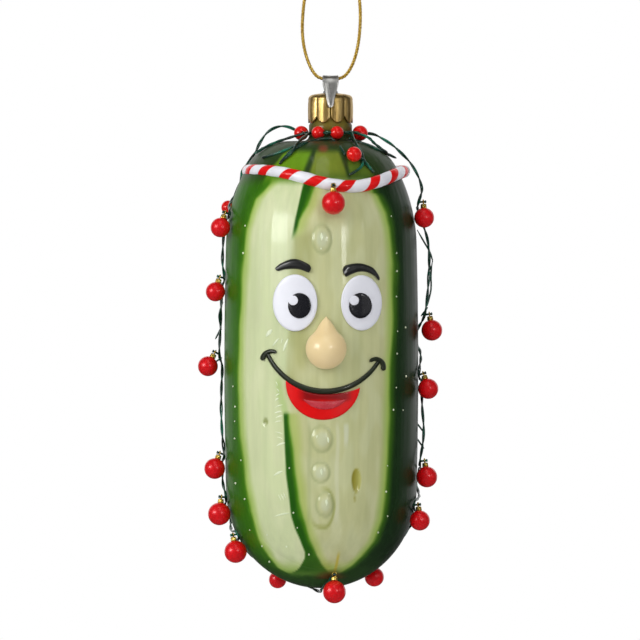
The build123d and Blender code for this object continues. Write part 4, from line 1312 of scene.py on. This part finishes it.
def markShapes():
    parts = []
    for i, (column, row) in enumerate(marks["specks"]):
        x, z = picture(column, row)
        radius = marks["dotRadius"] * (0.85 + 0.5 * ((i * 7) % 5) / 4)
        edge = [Vector((x + radius * math.cos(t), z + radius * 1.25 * math.sin(t))) for t in turnsOf(14)]
        parts.append(patch((x, z), edge, marks["dotRows"], 0.0))
    # the painted highlights, drawn as raised white strokes
    runs = [run + (marks["highlightLow"],) for run in marks["paintedHighlights"]] + marks["glints"]
    for column, row, farColumn, farRow, half, low in runs:
        start, end = Vector(picture(column, row)), Vector(picture(farColumn, farRow))
        bow = [Vector((0, marks["highlightBow"] * math.sin(math.pi * k / 20))) for k in range(21)]
        middle = [start + (end - start) * k / 20 + bow[k] for k in range(21)]
        parts.append(stroke(middle, lambda s: half * math.sin(math.pi * (0.06 + 0.88 * s)), low, 0.08))
    return joined(*parts)


markWhite = paintedFinish("markWhite", (208, 220, 180), (236, 242, 216), 300.0, 0.3, 0.4)
# one piece for the pale specks and the painted highlights
addPiece("specksAndHighlights", markShapes(), markWhite, "ornament", "pickle_glass")


# garland: arches as (x, y, drop from the dome), runs as (level, degrees forward, off the glass), as in the solids
garland = {
    "ringRadius": 7.45,
    "ringLevel": -44.3,
    "starts": {"left": 200, "right": -22},  # azimuth on the ring
    "startOut": 0.73,
    "off": 0.65,
    "rootRun": 1.1,
    "hookReach": 1.2,
    "hookStart": -1.3,
    "bandHookStart": -3.88,
    "hook": [(-0.3, 0.27), (0.36, 0.27), (0.42, 0.36), (0.56, 0.4), (0.7, 0.34), (0.76, 0.16)],  # reach, radius
    "stem": 0.28,
    "branch": 0.34,
    "branchEnd": 0.6,
    "stray": 0.22,
    "winding": {"count": 2, "pitch": 10.0, "spread": 0.18, "radius": 0.21, "loose": 1.8, "spacing": 0.3},
    "ringWinding": {"count": 2, "pitch": 3.0, "spread": 0.24, "radius": 0.25, "loose": 0.5, "spacing": 0.25},
    "noiseSeeds": {"left": 2.0, "right": 5.0, "ring": 8.0},
    "leftArch": [
        (-9.2, 3.0, -3.4), (-12.6, 3.0, -4.1), (-15.8, 3.4, -2.6), (-17.7, 4.0, 0.2), (-18.9, 5.2, 2.9),
        (-20.4, 7.2, 4.9), (-22.2, 8.6, 7.0), (-22.4, 8.3, 9.4), (-23.2, 6.6, 11.6), (-23.9, 5.6, 13.6),
    ],
    "rightArch": [
        (10.4, 2.6, -2.2), (13.1, 1.8, -0.7), (15.6, 1.2, 0.9), (17.7, 0.8, 2.9),
        (19.7, 0.6, 4.9), (21.2, 0.6, 7.2), (22.4, 0.2, 9.7), (23.0, -0.8, 12.4),
    ],
    "leftNames": ["left_bauble_%d" % n for n in range(1, 7)] + ["bottom_bauble_1", "bottom_bauble_2"],
    "rightNames": ["right_bauble_%d" % n for n in range(1, 6)] + ["bottom_bauble_3"],
    "leftRuns": [
        [(-65.65, 8, 0.8), (-68.35, 4.5, 0.75), (-72.55, 2, 0.75), (-77.05, 2.5, 0.8)],
        [(-81.95, 1, 0.8), (-84.95, -1, 0.8), (-88.35, 0, 0.9), (-93.55, -1, 1.0)],
        [(-102.55, -10, 0.8), (-107.55, -1, 0.75), (-113.05, 0.5, 0.85), (-118.55, 0, 0.75)],
        [(-125.95, 0, 0.8), (-128.95, -2.5, 0.8), (-132.05, 3, 0.8)],
        [(-137.05, -2, 0.85), (-140.05, -18, 0.85), (-142.15, -9, 0.85), (-143.45, 5, 0.95)],
        [(-145.65, 6, 0.9), (-147.05, -8, 0.85), (-150.15, -22, 0.85), (-151.85, -38, 0.9)],
        [(-155.45, -58, 0.9), (-157.35, -68, 0.95)],
    ],
    "rightRuns": [
        [
            (-63.35, -3, 1.3), (-65.95, -6.5, 1.6), (-69.35, -3, 2.6),
            (-73.35, 0, 3.1), (-77.75, 0.5, 3.0), (-83.35, 0, 2.6),
        ],
        [(-93.55, -18, 0.9), (-96.65, -19, 0.9), (-99.55, -5, 1.0)],
        [(-105.85, 2, 0.9), (-108.85, -1, 0.9), (-113.15, 0, 1.0), (-117.35, 0.5, 1.5), (-121.55, 1.5, 1.4)],
        [(-127.85, -5, 0.9), (-130.75, -18, 0.85), (-133.45, -12, 0.85), (-135.25, 3, 0.95)],
        [(-138.85, 0, 0.9), (-142.45, -13, 0.85), (-146.05, -22, 0.85), (-149.05, -30, 0.9)],
        [(-154.65, -54, 0.9), (-156.85, -64, 0.9)],
    ],
    "leftTurn": (16.2, 178),  # drop and azimuth, where the arch comes down to the glass
    "fork": (5.2, 55.5),  # the same for the branch with the bead
    "bottomDrop": 1.05,
    "bottomRun": [(-157.35, 92, 0.95), (-155.85, 82, 0.9)],
    "ringBeads": {"1": (169, 1.84), "2": (114.6, 1.63), "3": (77.6, 1.66), "4": (6.7, 1.95)},  # azimuth, radius
    "sideBead": (16.4, 198, 1.75),  # drop, azimuth, radius
    "shoulderBead": (3.5, 65, 1.88),
    "beadOff": 0.15,
}
swings = {}  # each bauble's pin and its axis
for joint in frame["joints"]:
    if joint["name"].endswith("_swing"):
        swings[joint["child"]] = (Vector(joint["pos_m"]) / mm, Vector(joint["axis"]).normalized())


def glassClearance(point):
    if point.z > domeLevel:
        return point.z - domeLevel
    reach = math.hypot(point.x - axisX, point.y) - glassRadius(point.z)
    return reach / math.hypot(1, glassSlope(point.z))


def archPoint(x, y, drop):  # moved out until it is clear of the glass
    point, way = Vector((x, y, belowDome(drop))), Vector((x - axisX, y, 0)).normalized()
    for _ in range(20):
        point = point + way * max(0.0, garland["off"] - glassClearance(point))
    return point


def hookRoot(name):
    pin, axis = swings[name]
    return pin - axis * garland["hookReach"]


def besideGlass(level, azimuth, off):  # the point at a level that is clear of the glass by off
    contact = level
    for _ in range(30):
        contact += (level - onGlass(contact, azimuth, off).z) / 2
    return onGlass(contact, azimuth, off)


def stemBead(name):
    drop, azimuth, radius = garland[name]
    return besideGlass(belowDome(drop), azimuth, radius + garland["beadOff"])


def onRing(azimuth, out=0.0):
    turn = math.radians(azimuth)
    reach = garland["ringRadius"] + out
    return Vector((reach * math.cos(turn), -reach * math.sin(turn), garland["ringLevel"]))


def onDome(drop, azimuth):
    return onGlass(belowDome(drop), azimuth, garland["off"])


def garlandRoute(side):
    left = side == "left"
    points = [onRing(garland["starts"][side], garland["startOut"])]
    points += [archPoint(*place) for place in garland[side + "Arch"]]
    if left:
        points.append(onDome(*garland["leftTurn"]))
    for name, run in zip(garland[side + "Names"], garland[side + "Runs"]):
        spots = [onGlass(level, 180 - forward if left else forward, off) for level, forward, off in run]
        way = (spots[0] - points[-1]).normalized() * garland["rootRun"]
        root = hookRoot(name)
        points += [root - way, root + way] + spots
    if left:  # under the bottom to its last bauble
        points.append(Vector((axisX, 0, bottomLevel - garland["bottomDrop"])))
        points += [onGlass(*spot) for spot in garland["bottomRun"]] + [hookRoot("bottom_bauble_2")]
    return points


def hookShape(name, start):  # a straight pin through the eyelet with a small stop at its end
    pin, axis = swings[name]
    route = [(start, 0.27)] + garland["hook"]
    return tube([pin + axis * reach for reach, _ in route], lambda i, turn: route[i][1], 12)


def strayWire(places):  # a loose strand that thins to its ends
    points = []
    for column, row, depth in places:
        x, z = picture(column, row)
        points.append((x, depth, z))
    line = smoothRoute(points, 8)
    last = len(line) - 1
    return tube(line, lambda i, turn: garland["stray"] * (0.4 + 0.6 * min(1.0, 6 * min(i, last - i) / last)), 10)


strays = {  # loose strands, as column and row in the photograph's frame and a depth
    "left": [
        [(262, 147, 3.0), (254, 158, 5.6), (247, 170, 7.8)],
        [(258, 158, -1.5), (270, 151, -4.6), (286, 147, -8.0)],
        [(223, 302, -0.5), (218.6, 313, -0.4), (219.5, 322, 0), (221.5, 330, 0.3)],
        [(221.5, 327, 0), (218.4, 333, 0.2), (215.3, 339.3, 0.2)],
        [(222, 357.6, 0), (219, 359.6, -0.3), (216, 361.5, -0.5)],
        [(222.4, 364, 0.3), (220.6, 372, 0.4), (222.4, 381, 0.3)],
    ],
    "right": [
        [(417.1, 229.8, -0.4), (424, 242, 0.2), (431.2, 253.6, 0.6), (432.8, 262, 0.8)],
        [(432.8, 259, 0.8), (430.6, 272, 0.9), (431.6, 289, 0.8), (428.4, 301, 0.6), (427.4, 306, 0.4)],
        [(428.6, 259.6, 0.2), (430.9, 270.4, 0.5)],
        [(427.8, 307.1, 0.3), (424.6, 311.6, 0.3), (420.9, 316.3, 0)],
        [(416.4, 422.4, 0.2), (420.6, 428.2, 0.2), (424.7, 433.2, 0)],
        [(416.4, 437.6, 0.2), (420.4, 443.6, 0), (424.1, 448.5, -0.4)],
    ],
    "crown": [  # these lie on the dome
        [(322, 138.5), (314, 141), (306, 143.8), (299.5, 147), (293, 150.5), (286, 157), (279.5, 165)],
        [(330, 139), (318, 140), (300, 144.5), (285, 151.5), (273, 155.5), (262, 158.5)],
        [(331, 138.5), (336, 142.5), (341, 149), (345, 156)],
        [(349, 139), (357, 141.5), (365, 144.5), (375, 149), (386, 153.5), (396, 158)],
    ],
}

for side in ("left", "right"):
    line = smoothLine(garlandRoute(side), 8)
    piece = twisted(side + "Garland", line, wireGreen, garland["noiseSeeds"][side], **garland["winding"])
    extra = [hookShape(name, garland["hookStart"]) for name in garland[side + "Names"]]
    extra += [strayWire(run) for run in strays[side]]
    if side == "left":  # the stem of the bead by the band
        start, bead = archPoint(*garland["leftArch"][-1]), stemBead("sideBead")
        extra.append(tube([start, start + (bead - start) * 0.5, bead], garland["stem"], 10))
    addTo(piece, *extra)
    dress(piece, "ornament", "green_wire", side + "_garland_wire")


def overDome(column, row):
    x, z = picture(column, row)
    if z > belowDome(0.35):
        return Vector((x, -math.sqrt(max(9.0, 8.7**2 - x**2)), z))
    return frontOfGlass(x, z, 0.42)


def branchWire(points):  # uneven, and thinner at its end
    line = smoothRoute(points, 10)

    def radius(i, turn):
        end = garland["branchEnd"] if i == len(line) - 1 else 1
        return garland["branch"] * end * (1 + 0.12 * math.sin(i * 1.1 + 2 * turn))

    return tube(line, radius, 10)


def makeCrown():
    turns = [onRing(360 * k / 120) * mm for k in range(121)]
    piece = twisted("crownRing", turns, wireGreen, garland["noiseSeeds"]["ring"], **garland["ringWinding"])
    fork = onDome(*garland["fork"])
    branches = [
        [onRing(148), Vector((-9.6, -4.9, -45.3)), onDome(1.6, 160), onDome(3.6, 165)],
        [onRing(133), onDome(1.0, 118), onDome(2.9, 114), onDome(4.4, 118), onDome(5.5, 122)],
        [onRing(46), onDome(1.2, 52), onDome(3.4, 53.5), fork, onDome(6.9, 59), onDome(8.0, 64.5), onDome(8.9, 70)],
        [fork, onDome(6.9, 52.5), onDome(8.3, 50)],
        [onRing(32), Vector((9.4, -4.6, -45.1)), onDome(1.5, 20), onDome(3.4, 13)],
    ]
    branches += [[overDome(*spot) for spot in run] for run in strays["crown"]]
    bead = stemBead("shoulderBead")
    stem = tube([fork + (bead - fork) * share for share in (0, 0.3, 0.6)], garland["stem"], 10)
    addTo(piece, *[branchWire(points) for points in branches], stem)
    return dress(piece, "ornament", "green_wire", "crown_wire")


makeCrown()
print("garland wires made")


# baubles and beads
baubleRadius = {
    "left_bauble_1": 2.45, "left_bauble_2": 2.42, "left_bauble_3": 2.5, "left_bauble_4": 2.6, "left_bauble_5": 2.83,
    "left_bauble_6": 2.8, "bottom_bauble_1": 2.2, "bottom_bauble_2": 2.85, "bottom_bauble_3": 2.43,
    "right_bauble_1": 2.5, "right_bauble_2": 2.62, "right_bauble_3": 2.55, "right_bauble_4": 2.62,
    "right_bauble_5": 2.52, "front_bauble": 2.9,
}
tinCap = {
    "profile": [  # radius, height over the ball
        (0, -0.02), (0.66, -0.1), (0.74, 0.0), (0.74, 0.2), (0.70, 0.3),
        (0.70, 0.72), (0.66, 0.86), (0.5, 0.95), (0, 0.97),
    ],
    "ribs": 15,
    "ribDepth": 0.045,
    "eyeHeight": 1.45,
    "eyeRadius": 0.49,
    "eyeWire": 0.16,
}


def ballShape(radius):
    profile = [(0, -radius)]
    for k in range(1, 47):
        turn = -math.pi / 2 + math.pi * k / 48
        profile.append((radius * math.cos(turn), radius * math.sin(turn)))
    profile += [(0.42, radius * 0.985), (0.4, radius + 0.1), (0.4, radius + 0.55), (0, radius + 0.58)]
    return lathe(profile, 64)


def tinShape(radius):  # ribbed collar, flat lid and a wire eye
    t = tinCap
    verts, faces = lathe([(out, radius + up) for out, up in t["profile"]], 60)
    ribbed = []
    for x, y, z in verts:
        rib = 1 + (t["ribDepth"] * math.cos(t["ribs"] * math.atan2(y, x)) if math.hypot(x, y) > 0.6 else 0)
        ribbed.append((x * rib, y * rib, z))
    middle, reach = radius + t["eyeHeight"], t["eyeRadius"]
    eye = [(0.0, reach * math.sin(turn), middle + reach * math.cos(turn)) for turn in turnsOf(36)]
    parts = [(ribbed, faces), tube(eye, t["eyeWire"], 10, closed=True)]
    for side in (-1, 1):
        feet = [(0, side * 0.3, radius + 0.9), (0, side * 0.34, radius + 1.06), (0, side * 0.3, radius + 1.14)]
        parts.append(tube(feet, 0.12, 8))
    return joined(*parts)


def beadShape(radius):  # a bead with a dished bore at each end
    profile = [(0, -radius * 0.78), (0.36, -radius * 0.86)]
    start = math.asin(0.5 / radius)
    for k in range(41):
        turn = -math.pi / 2 + start + (math.pi - 2 * start) * k / 40
        profile.append((radius * math.cos(turn), radius * math.sin(turn)))
    return lathe(profile + [(0.36, radius * 0.86), (0, radius * 0.78)], 48)


satinTones = [(0.3, (206, 3, 10)), (0.7, (224, 8, 18))]
glossyTones = [(0.3, (216, 10, 14)), (0.7, (236, 22, 22))]
satinRed = cloudFinish("satinRed", 500.0, 3.0, satinTones, (3200.0, 0.03), Roughness=0.4, Specular_IOR_Level=0.8,
                       Specular_Tint=(1, 0.2, 0.24, 1), Coat_Weight=0.6, Coat_Roughness=0.2, Coat_IOR=lacquer)
glossyRed = cloudFinish("glossyRed", 700.0, 3.0, glossyTones, Roughness=0.34, Specular_IOR_Level=0.6,
                        Specular_Tint=(1, 0.3, 0.24, 1), Coat_Weight=0.7, Coat_Roughness=0.15, Coat_IOR=lacquer)
tinGold = metalFinish("tinGold", (255, 228, 128), (206, 158, 62), 0.34, 1400.0, 0.25)
for name, radius in baubleRadius.items():
    pin, axis = swings[name]
    up = (Vector((0, 0, 1)) - axis * axis.z).normalized()
    place = Matrix((axis, up.cross(axis), up)).transposed().to_4x4()
    place.translation = pin - up * (radius + tinCap["eyeHeight"])
    label = "".join(w.capitalize() for w in name.split("_"))
    addPiece("ball" + label, moved(ballShape(radius), place), satinRed, name, "red_bauble", name + "_ball")
    addPiece("tin" + label, moved(tinShape(radius), place), tinGold, name, "bauble_gold", name + "_cap")

for number, (azimuth, radius) in garland["ringBeads"].items():
    turn = Matrix.Rotation(-math.radians(azimuth), 4, "Z") @ Matrix.Rotation(math.pi / 2, 4, "X")
    shape = moved(beadShape(radius), Matrix.Translation(onRing(azimuth)) @ turn)
    addPiece("berry" + number, shape, glossyRed, "ornament", "red_bead", "ring_bead_" + number)
beadX, beadY, beadDrop = garland["leftArch"][-1]
stemRoots = {"shoulder": onDome(*garland["fork"]), "side": Vector((beadX, beadY, belowDome(beadDrop)))}
for name, root in stemRoots.items():
    centre = stemBead(name + "Bead")
    turn = (root - centre).to_track_quat("Z", "Y").to_matrix().to_4x4()
    shape = moved(beadShape(garland[name + "Bead"][2]), Matrix.Translation(centre) @ turn)
    addPiece("berry" + name.capitalize(), shape, glossyRed, "ornament", "red_bead", name + "_bead")
addPiece("bandHook", hookShape("front_bauble", garland["bandHookStart"]), wireGreen, "ornament", "green_wire",
         "band_hook")
print("baubles and beads made")


# camera, light and backdrop
studio = {"distance": 2.4, "field": 0.160, "sensor": 36, "aim": (-0.002625, 0, -0.091), "lampDistance": 0.8}
cameraLens = bpy.data.cameras.new("camera")
cameraLens.sensor_width = studio["sensor"]
cameraLens.lens = studio["sensor"] * studio["distance"] / studio["field"]
cameraLens.clip_start, cameraLens.clip_end = 0.1, 20
camera = placed("camera", cameraLens)
camera.location = (studio["aim"][0], -studio["distance"], studio["aim"][2])
camera.rotation_euler = (math.radians(90), 0, 0)
bpy.context.scene.camera = camera


def softbox(name, place, size, power, sheen=False, aim=-0.07):  # it only lights, or only shines in what is glossy
    lamp = bpy.data.lights.new(name, "AREA")
    lamp.shape = "RECTANGLE"
    lamp.size, lamp.size_y = size
    lamp.energy = power
    holder = placed(name, lamp)
    holder.location = place
    holder.rotation_euler = (Vector((0, 0, aim)) - Vector(place)).to_track_quat("-Z", "Y").to_euler()
    holder.visible_diffuse, holder.visible_glossy = not sheen, sheen


def around(azimuth, level, distance=studio["lampDistance"]):  # a lamp's place, azimuth from the camera's side
    turn = math.radians(azimuth)
    return (distance * math.sin(turn), -distance * math.cos(turn), level)


softbox("leftWindow", around(-53, 0.195), (0.46, 0.48), 3.3)
softbox("rightWindow", around(22, 0.22), (0.26, 0.54), 1.7)
softbox("topLight", (-0.1, -0.25, 0.75), (0.5, 0.4), 1.2, aim=-0.09)
softbox("backFill", around(180, 0.2, 0.9), (0.6, 0.6), 1.6)
softbox("edgeSheen", around(-74.6, 0.06), (0.012, 0.26), 0.12, True)
softbox("leftSheen", around(-53, 0.1), (0.37, 0.26), 3.5, True)
softbox("rightSheen", around(26.5, 0.04), (0.08, 0.18), 0.8, True)
softbox("middleSheen", around(11.2, 0.05), (0.014, 0.12), 0.08, True)
softbox("farSheen", around(50, 0.11), (0.03, 0.09), 0.12, True)
softbox("sideSheen", around(64, 0.03), (0.5, 0.4), 0.27, True)
softbox("topSheen", (0, -0.45, 0.62), (0.2, 0.75), 0.75, True, -0.03)


def makeWorld():
    world = bpy.data.worlds.new("studio")
    bpy.context.scene.world = world
    world.use_nodes = True
    tree = world.node_tree
    rays = addNode(tree, "ShaderNodeLightPath").outputs
    seen = rays["Is Camera Ray"]
    for kind in ("Is Glossy Ray", "Is Transmission Ray"):
        seen = addNode(tree, "ShaderNodeMath", {"operation": "MAXIMUM"}, i0=seen, i1=rays[kind]).outputs[0]
    strength = addNode(tree, "ShaderNodeMapRange", Value=seen, To_Min=0.4, To_Max=1.0)  # what lights, and what is seen
    background = tree.nodes["Background"]
    background.inputs["Color"].default_value = (1, 1, 1, 1)
    tree.links.new(strength.outputs[0], background.inputs["Strength"])


room = {  # millimetres; the ends are how far back each sheet runs
    "half": 3000, "front": -3200, "bottom": -2500, "top": 2500, "floor": -420, "carpet": -410,
    "leftEnd": 3060, "rightEnd": 2480, "ceilingEnd": 2500, "carpetEnd": 1000,
}


def flatSheet(x, y, farX, farY, z):
    return [(x, y, z), (farX, y, z), (farX, farY, z), (x, farY, z)]


def wallSheet(x, y, farX, farY):
    low, high = room["bottom"], room["top"]
    return [(x, y, low), (farX, farY, low), (farX, farY, high), (x, y, high)]


makeWorld()
half, front = room["half"], room["front"]
floorFinish = Finish("paleFloor", Base_Color=(0.9, 0.9, 0.9, 1), Roughness=0.8, Emission_Color=(1, 1, 1, 1))
seen = floorFinish.add("ShaderNodeLightPath").outputs["Is Camera Ray"]  # nearly white to the camera, shadow kept
floorFinish.wire(floorFinish.math("MULTIPLY", seen, 0.45), "Emission Strength")
floor = newPiece("floor", flatSheet(-half, -half, half, half, room["floor"]), [[0, 1, 2, 3]])
floor.data.materials.append(floorFinish.material)
darkWall = Finish("darkWall", Base_Color=(0.06, 0.06, 0.06, 1), Roughness=0.9, Specular_IOR_Level=0.1)
walls = {
    "wallBehindCamera": wallSheet(-half, front, half, front),
    "wallLeft": wallSheet(-half, room["leftEnd"], -half, front),
    "wallRight": wallSheet(half, front, half, room["rightEnd"]),
    "ceiling": flatSheet(-half, front, half, room["ceilingEnd"], room["top"]),
    "carpet": flatSheet(-half, front, half, room["carpetEnd"], room["carpet"]),
}
for name, corners in walls.items():  # the dark room in front, which only reflections show
    wall = newPiece(name, corners, [[0, 1, 2, 3]])
    wall.data.materials.append(darkWall.material)
    wall.visible_camera = wall.visible_diffuse = wall.visible_shadow = False
bpy.context.scene.view_settings.view_transform = "Standard"
print("studio ready")
